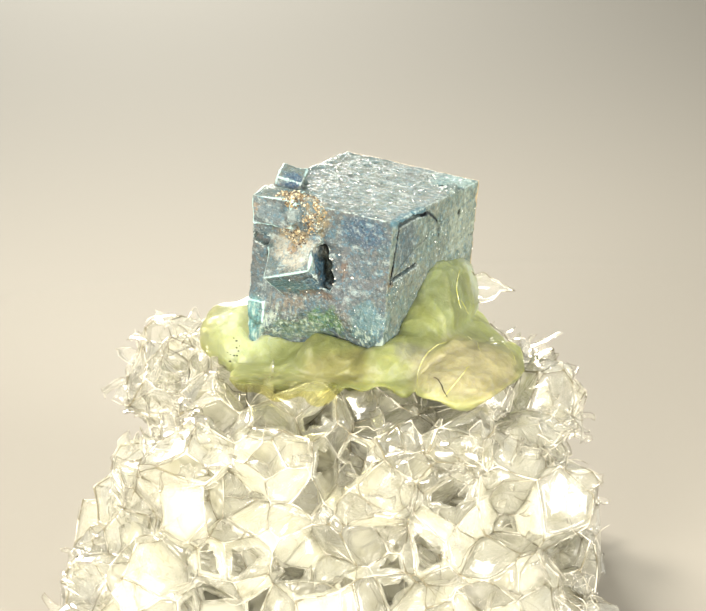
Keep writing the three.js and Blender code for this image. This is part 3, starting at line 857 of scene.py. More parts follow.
def fold_skin(lumps):
    """The smooth convex skin round a fold's lumps."""

    def build(whole):
        points = []
        for at, radii in lumps:
            ball = bmesh.new()
            bmesh.ops.create_icosphere(ball, subdivisions=4, radius=1)
            points += [Vector(at) + Vector(r * c for r, c in zip(radii, v.co)) for v in ball.verts]
            ball.free()
        verts = [whole.verts.new(p) for p in points]
        hull = bmesh.ops.convex_hull(whole, input=verts)
        bmesh.ops.delete(whole, geom=list(set(hull["geom_interior"] + hull["geom_unused"])), context="VERTS")

    return build


def before_edge(at, edge):
    """How far each point lies on the right of a line seen from above, and less than nothing on its left."""
    near, side = np.full(len(at), 1e9), np.zeros(len(at))
    for a, b in zip(edge, edge[1:]):
        run = np.subtract(b, a)
        from_a = at[:, :2] - a
        off = from_a - np.clip(from_a @ run / (run @ run), 0, 1)[:, None] * run
        far = np.linalg.norm(off, axis=1)
        closer = far < near
        near[closer] = far[closer]
        side[closer] = np.sign(off @ [run[1], -run[0]])[closer]
    return near * side


def pressed_flat(place):
    """True if a point of the foam would stand up through the putty where it is pressed down."""
    flat = np.array(place[:2])
    return place[2] > 7.15 and any(np.linalg.norm((flat - at) / reach) < 1.15 for at, reach, _ in PRESSED)


def make_putty(crystal_mesh):
    """The folds run together and pulled about a little, with the crystal's bed cut out of them."""
    tongues = [fold_skin([tongue]) for tongue in TONGUES]
    putty = joined_mesh("pressed_putty", [fold_skin(lumps) for lumps in PUTTY_FOLDS] + tongues)
    putty = modified(putty, "REMESH", mode="VOXEL", voxel_size=PUTTY_GRAIN)
    putty = modified(putty, "SMOOTH", factor=0.5, iterations=16)
    at, normals = corners_of(putty.data)
    swell = 0.13 * field(at * [1, 1, 1.4], 0.7, 5)
    dents = -0.03 * smoothstep(0.14, 0.0, np.abs(field(at * [1, 1, 1.3], 0.5, 23)))
    ridges = 0.03 * smoothstep(0.07, 0.0, np.abs(field(at * [1.2, 1.2, 0.7], 0.8, 77)))
    pulled = 0.035 * field(at * [1.6, 1.6, 0.7], 2.2, 41)
    crumpled = smoothstep(-1.6, -3.2, at[:, 0]) * 0.16 * field(at, 1.5, 63)
    ahead = before_edge(at, LOBE_EDGE)
    lobe = LOBE_STEP * smoothstep(-0.05, 0.09, ahead) * smoothstep(1.7, 0.6, ahead)
    at = at + normals * (0.05 + swell + dents + ridges + pulled + crumpled + lobe)[:, None]
    front = smoothstep(-0.4, -2.0, at[:, 1])
    for place, reach, sunk in PRESSED:
        far = np.linalg.norm((at[:, :2] - place) / reach, axis=1)
        at[:, 2] -= sunk * smoothstep(1.1, 0.4, far) * smoothstep(7.5, 8.0, at[:, 2])
    here = smoothstep(-0.35, 0.3, field(at * [1, 0, 0], 0.75, 87))
    thinner = SMEAR["least"] + (SMEAR["most"] - SMEAR["least"]) * here
    at[:, 2] += front * thinner * np.clip(SMEAR["height"] - at[:, 2], 0, None)
    at[:, 1] += front * 0.22 * field(at * [1, 0.3, 1], 0.9, 45) * smoothstep(8.2, 7.6, at[:, 2])
    set_corners(putty.data, at)
    level = at @ LIP["rise"] + 0.25 * field(at, 1.3, 67)
    lip = front * smoothstep(LIP["from"], LIP["to"], level) * smoothstep(2.2, 1.4, at[:, 0])
    tail = 0.6 * smoothstep(-2.9, -4.1, at[:, 0] + 0.5 * field(at, 0.9, 21))
    set_attribute(putty.data, "thin", np.maximum(lip, tail))

    bed = bpy.data.objects.new("bed", crystal_mesh.copy())
    scene.collection.objects.link(bed)
    at, normals = corners_of(bed.data)
    set_corners(bed.data, at - 0.03 * normals)
    putty = modified(putty, "BOOLEAN", operation="DIFFERENCE", object=bed, solver="MANIFOLD")
    bpy.data.objects.remove(bed)
    return putty


PUTTY_TINTS = (
    # Partly painted light: the pale lemon at the thin left end is partly its own colour and partly a painted
    # glow, for light shining through it.
    ("lemon at the left", (-3.1, 0.6, 8.2), (1.5, 2.4, 1.2), "#aebc7e", 0.9, 1.5),
    ("olive by the foot", (-0.6, -1.4, 8.2), (2.4, 1.3, 0.6), "#848c3c", 0.85, 1.3),
    ("olive behind the corner", (2.2, -0.9, 8.6), (1.1, 1.0, 0.7), "#7d8a40", 0.8, 1.2),
    ("amber under the front", (0.2, -2.2, 8.0), (1.9, 0.9, 0.6), "#989142", 0.75, 1.8),
    ("green hump", (2.9, 0.8, 9.4), (1.4, 2.0, 1.5), "#8a9a60", 0.9, 1.2),
    ("cool end of the hump", (4.2, 2.5, 9.2), (0.8, 1.2, 1.2), "#a9b79a", 0.9, 1.0),
    ("grey gap", (2.3, -2.1, 8.4), (0.75, 0.6, 0.4), "#8b8d70", 0.8, 1.6),
    ("cream lobe", (3.9, -2.4, 7.9), (2.1, 2.3, 1.0), "#b0a670", 0.95, 0.8),
)


def putty_material():
    """Pressed mounting putty, a soft butyl rubber: smooth, greasy and translucent, so light soaks in and it
    glows yellow-green where it is thin, olive where it is thick, with paler and clearer streaks."""
    made = bpy.data.materials.new("butyl_putty_pressed")
    made.use_nodes = True
    tree = made.node_tree
    tree.nodes.clear()
    place = add(tree, "ShaderNodeTexCoord").outputs["Object"]
    mm = add(tree, "ShaderNodeMapping", {"Vector": place, "Scale": (1 / MM,) * 3}).outputs[0]
    # Clouds of about 1.5 mm, streaks of 0.4 mm and a fine greasy grain.
    cloud = add(tree, "ShaderNodeTexNoise", {"Vector": mm, "Scale": 0.7, "Detail": 3.0}).outputs["Fac"]
    streak = add(
        tree, "ShaderNodeTexNoise", {"Vector": mm, "Scale": 2.6, "Detail": 3.0, "Distortion": 0.8}
    ).outputs["Fac"]
    grease = add(tree, "ShaderNodeTexNoise", {"Vector": mm, "Scale": 9.0, "Detail": 2.0}).outputs["Fac"]
    ragged = add(tree, "ShaderNodeMath", {0: cloud, 1: 0.5}, operation="SUBTRACT").outputs[0]
    colour = linear("#9ca650")
    spots = spot_group()
    for name, centre, reach, tint, strength, rag in PUTTY_TINTS:
        given = {"Place": mm, "Centre": centre, "Reach": reach, "Ragged": rag, "Noise": ragged}
        spot = add(tree, "ShaderNodeGroup", given, node_tree=spots, label=name)
        colour = coated(tree, colour, [(spot.outputs[0], 0.0, 1.0, strength, tint)])
    colour = coated(
        tree, colour, [(streak, 0.53, 0.75, 0.35, "#d4d69a"), (streak, 0.44, 0.28, 0.3, "#747d34")]
    )
    colour = add(
        tree, "ShaderNodeHueSaturation", {"Color": colour, "Saturation": 0.78, "Value": 0.68}
    ).outputs[0]
    height = add(tree, "ShaderNodeMath", {0: streak, 1: 3.0, 2: grease}, operation="MULTIPLY_ADD").outputs[0]
    bump = add(tree, "ShaderNodeBump", {"Height": height, "Strength": 0.25, "Distance": 0.05 * MM})
    clear = add(
        tree,
        "ShaderNodeMapRange",
        {"Value": cloud, "From Min": 0.38, "From Max": 0.6, "To Min": 0.1, "To Max": 0.5},
    ).outputs[0]
    body = add(
        tree,
        "ShaderNodeBsdfPrincipled",
        {
            "Base Color": colour,
            "Roughness": 0.48,
            "IOR": 1.45,
            "Subsurface Weight": 0.8,
            "Subsurface Radius": (1.0, 0.9, 0.3),
            "Subsurface Scale": 0.7 * MM,
            "Transmission Weight": clear,
            "Specular IOR Level": 0.4,
            "Normal": bump.outputs[0],
        },
    )
    # Along its lower lip the putty is smeared so thin that the foam shows through it.
    thin = add(tree, "ShaderNodeAttribute", attribute_name="thin").outputs["Fac"]
    share = add(tree, "ShaderNodeMath", {0: thin, 1: 0.97}, operation="MULTIPLY").outputs[0]
    open_air = add(tree, "ShaderNodeBsdfTransparent", {"Color": linear("#faf8dc")}).outputs[0]
    smeared = add(tree, "ShaderNodeMixShader", {0: share, 1: body.outputs[0], 2: open_air}).outputs[0]
    add(tree, "ShaderNodeOutputMaterial", {"Surface": smeared})
    return made


# Threads drawn out over the putty, in the row frame: half-width, and the points that each passes near.
PUTTY_THREADS = (
    (0.014, ((3.74, 1.25, 9.95), (3.75, 0.39, 9.85), (3.71, -0.02, 9.54), (3.77, -0.01, 9.12))),
    (0.009, ((3.77, 0.17, 9.32), (4.0, 0.39, 9.0), (4.19, 0.67, 8.65))),
    (0.012, ((3.1, -4.05, 7.71), (3.33, -3.84, 7.94), (3.58, -3.42, 8.07), (3.8, -2.78, 8.09))),
    (
        0.009,
        (
            (2.37, -3.11, 7.68),
            (2.35, -2.58, 7.99),
            (2.56, -2.23, 8.33),
            (2.92, -1.89, 8.59),
            (3.41, -1.25, 8.5),
        ),
    ),
    (
        0.008,
        (
            (3.41, -1.25, 8.5),
            (3.71, -1.21, 8.39),
            (4.02, -0.85, 8.43),
            (4.38, -0.85, 8.33),
            (4.79, -0.38, 8.36),
        ),
    ),
    (0.010, ((3.97, -0.4, 8.56), (4.17, -0.89, 8.35), (4.21, -1.97, 8.28))),
    (0.007, ((4.9, 0.05, 8.35), (5.1, -0.8, 8.13), (5.25, -1.89, 7.97))),
)
DUST_FIBRE = (
    0.016,
    ((2.83, -3.25, 8.01), (2.94, -3.43, 8.01), (3.05, -3.72, 7.93), (3.1, -3.94, 7.82), (3.18, -4.11, 7.7)),
)
SPECKS = {"count": 11, "at": (-3.12, -0.42, 7.98), "spread": (0.22, 0.3, 0.28), "size": (0.02, 0.045)}


def rounded_off(points, rounds=2):
    """A line through points with its corners cut off again and again, its ends kept."""
    for _ in range(rounds):
        cut = [points[0]]
        for a, b in zip(points, points[1:]):
            cut += [a.lerp(b, 0.25), a.lerp(b, 0.75)]
        points = [*cut, points[-1]]
    return points


def laid_threads(name, threads, skin, tree, material):
    """Threads that lie on a skin, thick in the middle and drawn to nothing at their ends."""
    at, edges, thick = [], [], []
    for half_width, points in threads:
        line = rounded_off([Vector(p) for p in points])
        start = len(at)
        for i, p in enumerate(line):
            near, normal, _, _ = skin.find_nearest(p)
            at.append(near + 0.4 * half_width * normal)
            thick.append(half_width * (0.15 + 0.85 * math.sin(math.pi * i / (len(line) - 1)) ** 0.6))
        edges += [(i, i + 1) for i in range(start, len(at) - 1)]
    wire = mesh_object(name, at, [], edges)
    set_attribute(wire.data, "thick", thick)
    return grown_by_nodes(wire, tree, Radius=1.0, Sides=6, Material=material)


def specks_on(skin):
    """A few specks of dark dirt pressed into a skin."""
    draw = random_run(977)
    lumps = []
    for _ in range(SPECKS["count"]):
        aim = Vector(c + (2 * next(draw) - 1) * s for c, s in zip(SPECKS["at"], SPECKS["spread"]))
        small, large = SPECKS["size"]
        radius = small + (large - small) * next(draw)
        lumps.append(lump(skin.find_nearest(aim)[0], (radius, radius, 0.6 * radius)))
    return joined_mesh("dark_specks", lumps)


# The wisp of thin clear film stuck to the end of the hump: the ends of its root, its tip, how crumpled it
# is and how finely it is divided.
WISP = {
    "root": ((3.85, 2.1, 8.55), (3.8, 2.3, 9.75)),
    "tip": (5.35, 2.6, 8.95),
    "crumple": 0.36,
    "rows": 12,
    "across": 8,
}


def make_wisp():
    """A crumpled three-cornered scrap of clear film, drawn out to a point."""
    low, high = (Vector(p) for p in WISP["root"])
    tip = Vector(WISP["tip"])
    rows, across = WISP["rows"], WISP["across"]
    at = []
    for i in range(rows):
        share = i / (rows - 1)
        for k in range(across):
            t = k / (across - 1)
            edge = low.lerp(high, t)
            p = edge.lerp(tip, share)
            fold = 0.16 * math.sin(7 * t + 3 * share) * (1 - 0.5 * share)
            shake = noise.noise_vector(p * 2.6 + Vector((3, 8, 1))) + 0.5 * noise.noise_vector(p * 6)
            shake = shake * WISP["crumple"] * min(1, 0.3 + 2 * share) * 0.5
            at.append(p + Vector((0.2, -1, 0.1)) * fold + shake)
    faces = [
        (i * across + k, i * across + k + 1, (i + 1) * across + k + 1, (i + 1) * across + k)
        for i in range(rows - 1)
        for k in range(across - 1)
    ]
    wisp = mesh_object("putty_wisp", at, faces)
    set_attribute(wisp.data, "haze", [0.05] * len(faces), "FACE")
    set_attribute(wisp.data, "tint", [0.2] * len(faces), "FACE")
    return wisp


def plain_material(name, dark, light, roughness, ior=1.5):
    """Two shades of one colour in streaks of about 0.3 mm, for the small pieces that lie on the putty."""
    made = bpy.data.materials.new(name)
    made.use_nodes = True
    tree = made.node_tree
    body = tree.nodes["Principled BSDF"]
    place = add(tree, "ShaderNodeTexCoord").outputs["Object"]
    streak = add(
        tree, "ShaderNodeTexNoise", {"Vector": place, "Scale": 3.3 / MM, "Detail": 2.0}
    ).outputs["Fac"]
    tree.links.new(coated(tree, linear(dark), [(streak, 0.42, 0.58, 1.0, light)]), body.inputs["Base Color"])
    body.inputs["Roughness"].default_value = roughness
    body.inputs["IOR"].default_value = ior
    return made


# ---- the foam block ----

# The same block and the same cells as in the solid.
FOAM = {
    "width": 16.8,
    "depth": 13.4,
    "top": 7.75,
    "top_tilt": 0.05,
    "cell": 1.75,
    "jitter": 0.27,
    "side_slope": 0.22,
    "end_slope": 0.22,
    "lean": 0.1,
    "flare": 0.5,
    "squareness": 5,
    "torn_share": 0.34,
    "seed": 20417,
}
PITCH = FOAM["cell"] * 1.134
FILM = 0.02  # a cell wall's thickness
FILM_RINGS = {-1: 4, 0: 2, 1: 1}  # how finely a wall is divided, by how many cells lie in front of it
OUTSIDE = -1


def foam_share(x, y, z):
    """How far out a cell's centre lies towards the block's sides: 1 is on the side."""
    foot = FOAM["flare"] * max(0, 1 - z / FOAM["cell"]) - FOAM["cell"] / 2
    half_width = FOAM["width"] / 2 + foot - FOAM["side_slope"] * z
    half_depth = FOAM["depth"] / 2 + foot - FOAM["end_slope"] * z
    n = FOAM["squareness"]
    return (abs((x - FOAM["lean"] * z) / half_width) ** n + abs(y / half_depth) ** n) ** (1 / n)


def foam_seeds():
    """The cells' centres, and which of them belong to the block."""
    draw = random_run(FOAM["seed"])
    across = math.ceil(FOAM["width"] / 2 / PITCH) + 1
    deep = math.ceil(FOAM["depth"] / 2 / PITCH) + 1
    tall = math.ceil(FOAM["top"] / PITCH) + 1
    centres, kept = [], []
    for i in range(-across, across + 1):
        for j in range(-deep, deep + 1):
            for k in range(-3, tall + 1):
                for half in (0, 0.5):
                    at = tuple(
                        (step + half + (next(draw) * 2 - 1) * FOAM["jitter"]) * PITCH for step in (i, j, k)
                    )
                    luck = next(draw)
                    share = foam_share(*at)
                    top = FOAM["top"] - FOAM["cell"] / 2 + FOAM["top_tilt"] * at[0]
                    inside = share <= 1 and -FOAM["cell"] <= at[2] <= top
                    near_side = share > 1 - FOAM["cell"] / FOAM["width"]
                    torn = near_side and at[2] > FOAM["cell"] and luck < FOAM["torn_share"]
                    centres.append(at)
                    kept.append(inside and not torn)
    return np.array(centres), np.array(kept)


def cell_walls(centres, cell):
    """The walls of one cell: the cell on the other side, and the wall's corners in order round it."""
    away = np.linalg.norm(centres - centres[cell], axis=1)
    near = [int(i) for i in np.argsort(away)[1:31]]
    here = Vector(centres[cell])
    planes = []
    for other in near:
        there = Vector(centres[other])
        normal = (there - here).normalized()
        planes.append(Vector((*normal, -normal.dot((here + there) / 2))))
    points, used = points_in_planes(planes, 1e-5, 1e-6)
    for index in used:
        normal, off = planes[index].xyz, planes[index].w
        on = []
        for p in points:
            if abs(normal.dot(p) + off) < 1e-4 and all((p - q).length > 1e-3 for q in on):
                on.append(p)
        if len(on) < 3:
            continue
        middle = sum(on, Vector()) / len(on)
        u = (on[0] - middle).normalized()
        v = normal.cross(u)
        on.sort(key=lambda p: math.atan2((p - middle).dot(v), (p - middle).dot(u)))
        yield near[index], on


def cut_by(polygon, normal, off):
    """The part of a polygon where normal . p <= off."""
    kept = []
    for a, b in zip(polygon, polygon[1:] + polygon[:1]):
        da, db = normal.dot(a) - off, normal.dot(b) - off
        if da <= 0:
            kept.append(a)
        if (da <= 0) != (db <= 0):
            kept.append(a.lerp(b, da / (da - db)))
    return kept


# The planes that the block was cut by: its flat underside, and its sides at their widest.
KNIVES = (
    (Vector((0, 0, -1)), 0.0),
    (Vector((1, 0, 0)), FOAM["width"] / 2),
    (Vector((-1, 0, 0)), FOAM["width"] / 2),
    (Vector((0, 1, 0)), FOAM["depth"] / 2),
    (Vector((0, -1, 0)), FOAM["depth"] / 2),
)


def foam_walls():
    """Every wall between two cells of the block, or between the block and the air, with how deep it lies."""
    centres, kept = foam_seeds()
    walls, next_to = [], {}
    for cell in np.flatnonzero(kept):
        cell = int(cell)
        for other, polygon in cell_walls(centres, cell):
            next_to.setdefault(cell, set()).add(other)
            if other > cell or not kept[other]:
                walls.append((cell, other, polygon))
    layer = {cell: 0 for cell in next_to if any(not kept[other] for other in next_to[cell])}
    front = list(layer)
    while front:
        behind = []
        for cell in front:
            for other in next_to[cell]:
                if kept[other] and other not in layer:
                    layer[other] = layer[cell] + 1
                    behind.append(other)
        front = behind

    def depth(cell):
        return layer.get(cell, 9) if kept[cell] else OUTSIDE

    return [(polygon, min(depth(a), depth(b)), centres[a]) for a, b, polygon in walls]


def foam_warp(at):
    """Pushes the straight Voronoi cells about a little, and keeps them in the block."""
    at = np.asarray(at, float).reshape(-1, 3)
    push = 0.2 * vector_field(at, 0.5, 9) + 0.07 * vector_field(at, 1.5, 31)
    push += 0.02 * vector_field(at, 4.0, 57)
    push *= smoothstep(0.0, 0.9, at[:, 2])[:, None]
    moved = at + push
    limit = [FOAM["width"] / 2 - 0.03, FOAM["depth"] / 2 - 0.03]
    moved[:, :2] = np.clip(moved[:, :2], [-limit[0], -limit[1]], limit)
    moved[:, 2] = np.clip(moved[:, 2], FILM, 9.0)
    return moved


def film(polygon, rings, bulge, wrinkle, heading, outward, tear=None):
    """A cell wall as a thin sheet: rings of corners round its middle, bulged, wrinkled and held at its rim.
    A torn one keeps only a ragged strip along its rim, curled towards the open side."""
    middle = sum(polygon, Vector()) / len(polygon)
    normal = (polygon[0] - middle).cross(polygon[1] - middle).normalized()
    if normal.dot(outward) < 0:
        normal = -normal
    crease = Matrix.Rotation(heading, 3, normal) @ (polygon[0] - middle).normalized()
    sides = len(polygon)
    points, index = [], {}
    for ring in range(rings + 1):
        for side in range(sides if ring else 1):
            for step in range(max(ring, 1)):
                edge_point = polygon[side].lerp(polygon[(side + 1) % sides], step / max(ring, 1))
                out = ring / rings
                p = middle.lerp(edge_point, out)
                free = 1 - out * out
                p = p + normal * free * (bulge + wrinkle * math.sin(9 * (p - middle).dot(crease) + heading))
                index[ring, side, step] = len(points)
                points.append(p)

    def corner(ring, side, step):
        if ring == 0:
            return index[0, 0, 0]
        if step == ring:
            side, step = (side + 1) % sides, 0
        return index[ring, side, step]

    faces = []
    for ring in range(1, rings + 1):
        for side in range(sides):
            if tear is not None and ring <= tear[side % len(tear)]:
                continue
            for step in range(ring):
                here, beside = corner(ring, side, step), corner(ring, side, step + 1)
                faces.append((here, beside, corner(ring - 1, side, min(step, ring - 1))))
                if step < ring - 1:
                    faces.append((beside, corner(ring - 1, side, step + 1), corner(ring - 1, side, step)))
    if tear is not None:
        for (ring, side, step), i in index.items():
            curl = normal * 0.35 * (1 - ring / rings) ** 2 * (1 + math.sin(3 * side + heading))
            points[i] = points[i] + curl
    return points, faces


def inside_of(tree, at, deep=0.3):
    """True if a point lies at least so deep inside the closed shape that the tree was made from."""
    near, normal, _, _ = tree.find_nearest(Vector(at))
    return (Vector(at) - near).dot(normal) < -deep


# A wall that lies deeper than this in the putty is left out: in its thick part, and at the left and along the
# lip, where it is clear enough for walls to show through it.
BURIED = {"thick": 0.3, "clear": 1.0}


def planned_walls(walls, putty_skin):
    """The walls that show, each cut to the block, with its own bulge, tears and milkiness."""
    draw = random_run(8123)
    planned = []
    for polygon, depth, cell in walls:
        luck, tone, swell, heading, wrinkle = (next(draw) for _ in range(5))
        for normal, off in KNIVES:
            polygon = cut_by(polygon, normal, off)
            if len(polygon) < 3:
                break
        if len(polygon) < 3:
            continue
        middle = sum(polygon, Vector()) / len(polygon)
        buried = BURIED["thick" if middle.x > -2.8 and middle.y > -1.8 else "clear"]
        if pressed_flat(middle) or inside_of(putty_skin, middle, buried):
            continue
        outer = depth == OUTSIDE
        high = smoothstep(5.2, 6.6, middle.z)
        if outer and luck < 0.03:
            continue
        torn = outer and luck < 0.24 - 0.1 * high
        # The cells along the left and right sides and on the top are the clearest.
        half_width = FOAM["width"] / 2 - FOAM["side_slope"] * middle.z
        aside = smoothstep(0.72, 0.98, abs(middle.x - FOAM["lean"] * middle.z) / half_width)
        clearer = (1 - 0.6 * aside) * (1 - 0.35 * high)
        if outer:
            haze = (0.07 + 0.22 * tone**2) * clearer
        else:
            haze = (0.1 + 0.35 * tone) * clearer if depth == 0 else 1.0
        planned.append(
            {
                "polygon": polygon,
                "outer": outer,
                "rings": FILM_RINGS[min(depth, 1)],
                "bulge": (0.24 * swell - 0.06) if outer else 0.24 * (swell - 0.5),
                "wrinkle": 0.045 * wrinkle**2,
                "heading": 2 * math.pi * heading,
                "outward": middle - Vector(cell),
                "tear": [1 + int(3 * ((luck * 97.3 * (i + 1)) % 1)) for i in range(7)] if torn else None,
                "haze": haze,
                "tint": swell,
            }
        )
    return planned


def foam_films(plan):
    """The cell walls: the outer ones clear, and some of them torn, and the inner ones milky."""
    sheets = {"clear": ([], [], [], []), "milky": ([], [], [], [])}
    for wall in plan:
        shape = [wall[key] for key in ("polygon", "rings", "bulge", "wrinkle", "heading", "outward", "tear")]
        points, faces = film(*shape)
        at, over, haze, tint = sheets["clear" if wall["outer"] else "milky"]
        start = len(at)
        at += points
        over += [tuple(start + i for i in face) for face in faces]
        haze += [wall["haze"]] * len(faces)
        tint += [wall["tint"]] * len(faces)
    made = []
    for kind, (at, over, haze, tint) in sheets.items():
        sheet = mesh_object(
            f"foam_cell_walls_{kind}", [tuple(p) for p in foam_warp([p[:] for p in at])], over
        )
        set_attribute(sheet.data, "haze", haze, "FACE")
        set_attribute(sheet.data, "tint", tint, "FACE")
        work = bmesh.new()
        work.from_mesh(sheet.data)
        bmesh.ops.delete(work, geom=[v for v in work.verts if not v.link_faces], context="VERTS")
        work.to_mesh(sheet.data)
        work.free()
        made.append(modified(sheet, "SOLIDIFY", thickness=FILM, offset=0.0))
    return made


CREASE = {"radius": 0.011, "most": 3, "steps": 4}


def film_creases(plan, tree, material):
    """Fine creases that fan out from the corners of the outer walls, where the film is drawn tight."""
    draw = random_run(3391)
    at, edges, thick = [], [], []
    for wall in plan:
        if not wall["outer"] or wall["tear"]:
            continue
        polygon = wall["polygon"]
        middle = sum(polygon, Vector()) / len(polygon)
        normal = (polygon[0] - middle).cross(polygon[1] - middle).normalized()
        if normal.dot(wall["outward"]) < 0:
            normal = -normal
        first = int(next(draw) * len(polygon))
        for fan in range(int(next(draw) * (CREASE["most"] + 1))):
            corner = polygon[(first + fan // 2) % len(polygon)]
            if (corner - middle).length < 0.35 or corner.z < 0.3:
                continue
            aside = normal.cross(corner - middle) * (next(draw) - 0.5) * 1.5
            goal = middle.lerp(corner, 0.55 * next(draw) - 0.15) + aside * 0.6
            start = len(at)
            for step in range(CREASE["steps"] + 1):
                share = step / CREASE["steps"]
                p = corner.lerp(goal, share)
                out = 1 - 0.75 * share
                at.append(p + normal * ((1 - out * out) * wall["bulge"] + 0.018))
                thick.append(1.1 - 0.8 * share)
            edges += [(i, i + 1) for i in range(start, len(at) - 1)]
    wire = mesh_object("film_creases", [tuple(p) for p in foam_warp([p[:] for p in at])], [], edges)
    set_attribute(wire.data, "thick", thick)
    return grown_by_nodes(wire, tree, Radius=CREASE["radius"], Sides=3, Material=material)


def rolled_rims(name, sheet, tree, radius, material):
    """A fine rolled bead along every free edge of a thin sheet."""
    free = bmesh.new()
    free.from_mesh(sheet.data)
    ends = [(tuple(e.verts[0].co), tuple(e.verts[1].co)) for e in free.edges if e.is_boundary]
    free.free()
    at = [p for pair in ends for p in pair]
    wire = mesh_object(name, at, [], [(2 * i, 2 * i + 1) for i in range(len(ends))])
    joined = bmesh.new()
    joined.from_mesh(wire.data)
    bmesh.ops.remove_doubles(joined, verts=joined.verts, dist=1e-4)
    joined.to_mesh(wire.data)
    joined.free()
    set_attribute(wire.data, "thick", [1.0] * len(wire.data.vertices))
    return grown_by_nodes(wire, tree, Radius=radius, Sides=3, Material=material)


STRUT = {"radius": 0.016, "node": 2.1, "steps": 3}


def strut_tree():
    """Rounds every edge of a wire into a strut with a few flat sides, as thick as its corners say."""
    tree = bpy.data.node_groups.new("drawn_struts", "GeometryNodeTree")
    tree.interface.new_socket("Geometry", in_out="OUTPUT", socket_type="NodeSocketGeometry")
    for name, kind in (
        ("Geometry", "NodeSocketGeometry"),
        ("Radius", "NodeSocketFloat"),
        ("Sides", "NodeSocketInt"),
        ("Material", "NodeSocketMaterial"),
    ):
        tree.interface.new_socket(name, in_out="INPUT", socket_type=kind)
    start = add(tree, "NodeGroupInput").outputs
    thick = add(
        tree, "GeometryNodeInputNamedAttribute", {"Name": "thick"}, data_type="FLOAT"
    ).outputs["Attribute"]
    radius = add(tree, "ShaderNodeMath", {0: thick, 1: start["Radius"]}, operation="MULTIPLY").outputs[0]
    curve = add(tree, "GeometryNodeMeshToCurve", {"Mesh": start["Geometry"]}).outputs[0]
    curve = add(tree, "GeometryNodeSetCurveRadius", {"Curve": curve, "Radius": radius}).outputs[0]
    ring = add(
        tree, "GeometryNodeCurvePrimitiveCircle", {"Resolution": start["Sides"], "Radius": 1.0}
    ).outputs[0]
    tube = add(
        tree,
        "GeometryNodeCurveToMesh",
        {"Curve": curve, "Profile Curve": ring, "Scale": radius, "Fill Caps": True},
    )
    real = add(tree, "GeometryNodeRealizeInstances", {"Geometry": tube.outputs[0]}).outputs[0]
    done = add(tree, "GeometryNodeSetMaterial", {"Geometry": real, "Material": start["Material"]}).outputs[0]
    add(tree, "NodeGroupOutput", {0: done})
    return tree


def foam_struts(walls, putty_skin, tree, material):
    """The struts where cell walls meet, thick at their ends, with loose ends pulled out of the torn sides."""
    draw = random_run(5501)
    spans = {}
    for polygon, depth, cell in walls:
        if depth > 0:
            continue
        for a, b in zip(polygon, polygon[1:] + polygon[:1]):
            ends = tuple(sorted((tuple(round(c, 2) for c in a), tuple(round(c, 2) for c in b))))
            if ends[0] != ends[1]:
                known = spans.get(ends)
                spans[ends] = (a, b, min(depth, known[2]) if known else depth, cell)
    at, edges, thick = [], [], []

    def run(points, radii):
        start = len(at)
        at.extend(points)
        thick.extend(radii)
        edges.extend((start + i, start + i + 1) for i in range(len(points) - 1))

    for a, b, depth, cell in spans.values():
        luck, stray, bend = next(draw), next(draw), next(draw)
        middle = (a + b) / 2
        if (a - b).length < 0.12 or min(a.z, b.z) < 0.05:
            continue
        if inside_of(putty_skin, middle) or pressed_flat(middle):
            continue
        if max(abs(a.x), abs(b.x)) > FOAM["width"] / 2 or max(abs(a.y), abs(b.y)) > FOAM["depth"] / 2:
            continue
        base = 0.7 + 0.9 * luck * luck
        steps = [i / STRUT["steps"] for i in range(STRUT["steps"] + 1)]
        run(
            [a.lerp(b, t) for t in steps],
            [base * (1 + (STRUT["node"] - 1) * abs(2 * t - 1) ** 4) for t in steps],
        )
        if depth == OUTSIDE and stray < 0.06 and 0.8 < a.z < 7.4:
            out = (a - Vector(cell)).normalized()
            aside = out.cross(b - a).normalized()
            reach = 0.2 + 0.5 * bend
            tip = [a + out * reach * t + aside * (stray - 0.07) * 7 * t * t for t in (0, 0.35, 0.7, 1)]
            run(tip, [1.4, 1.1, 0.9, 0.5])
    wire = mesh_object("foam_struts", [tuple(p) for p in foam_warp([p[:] for p in at])], [], edges)
    set_attribute(wire.data, "thick", thick)
    return grown_by_nodes(wire, tree, Radius=STRUT["radius"], Sides=4, Material=material)


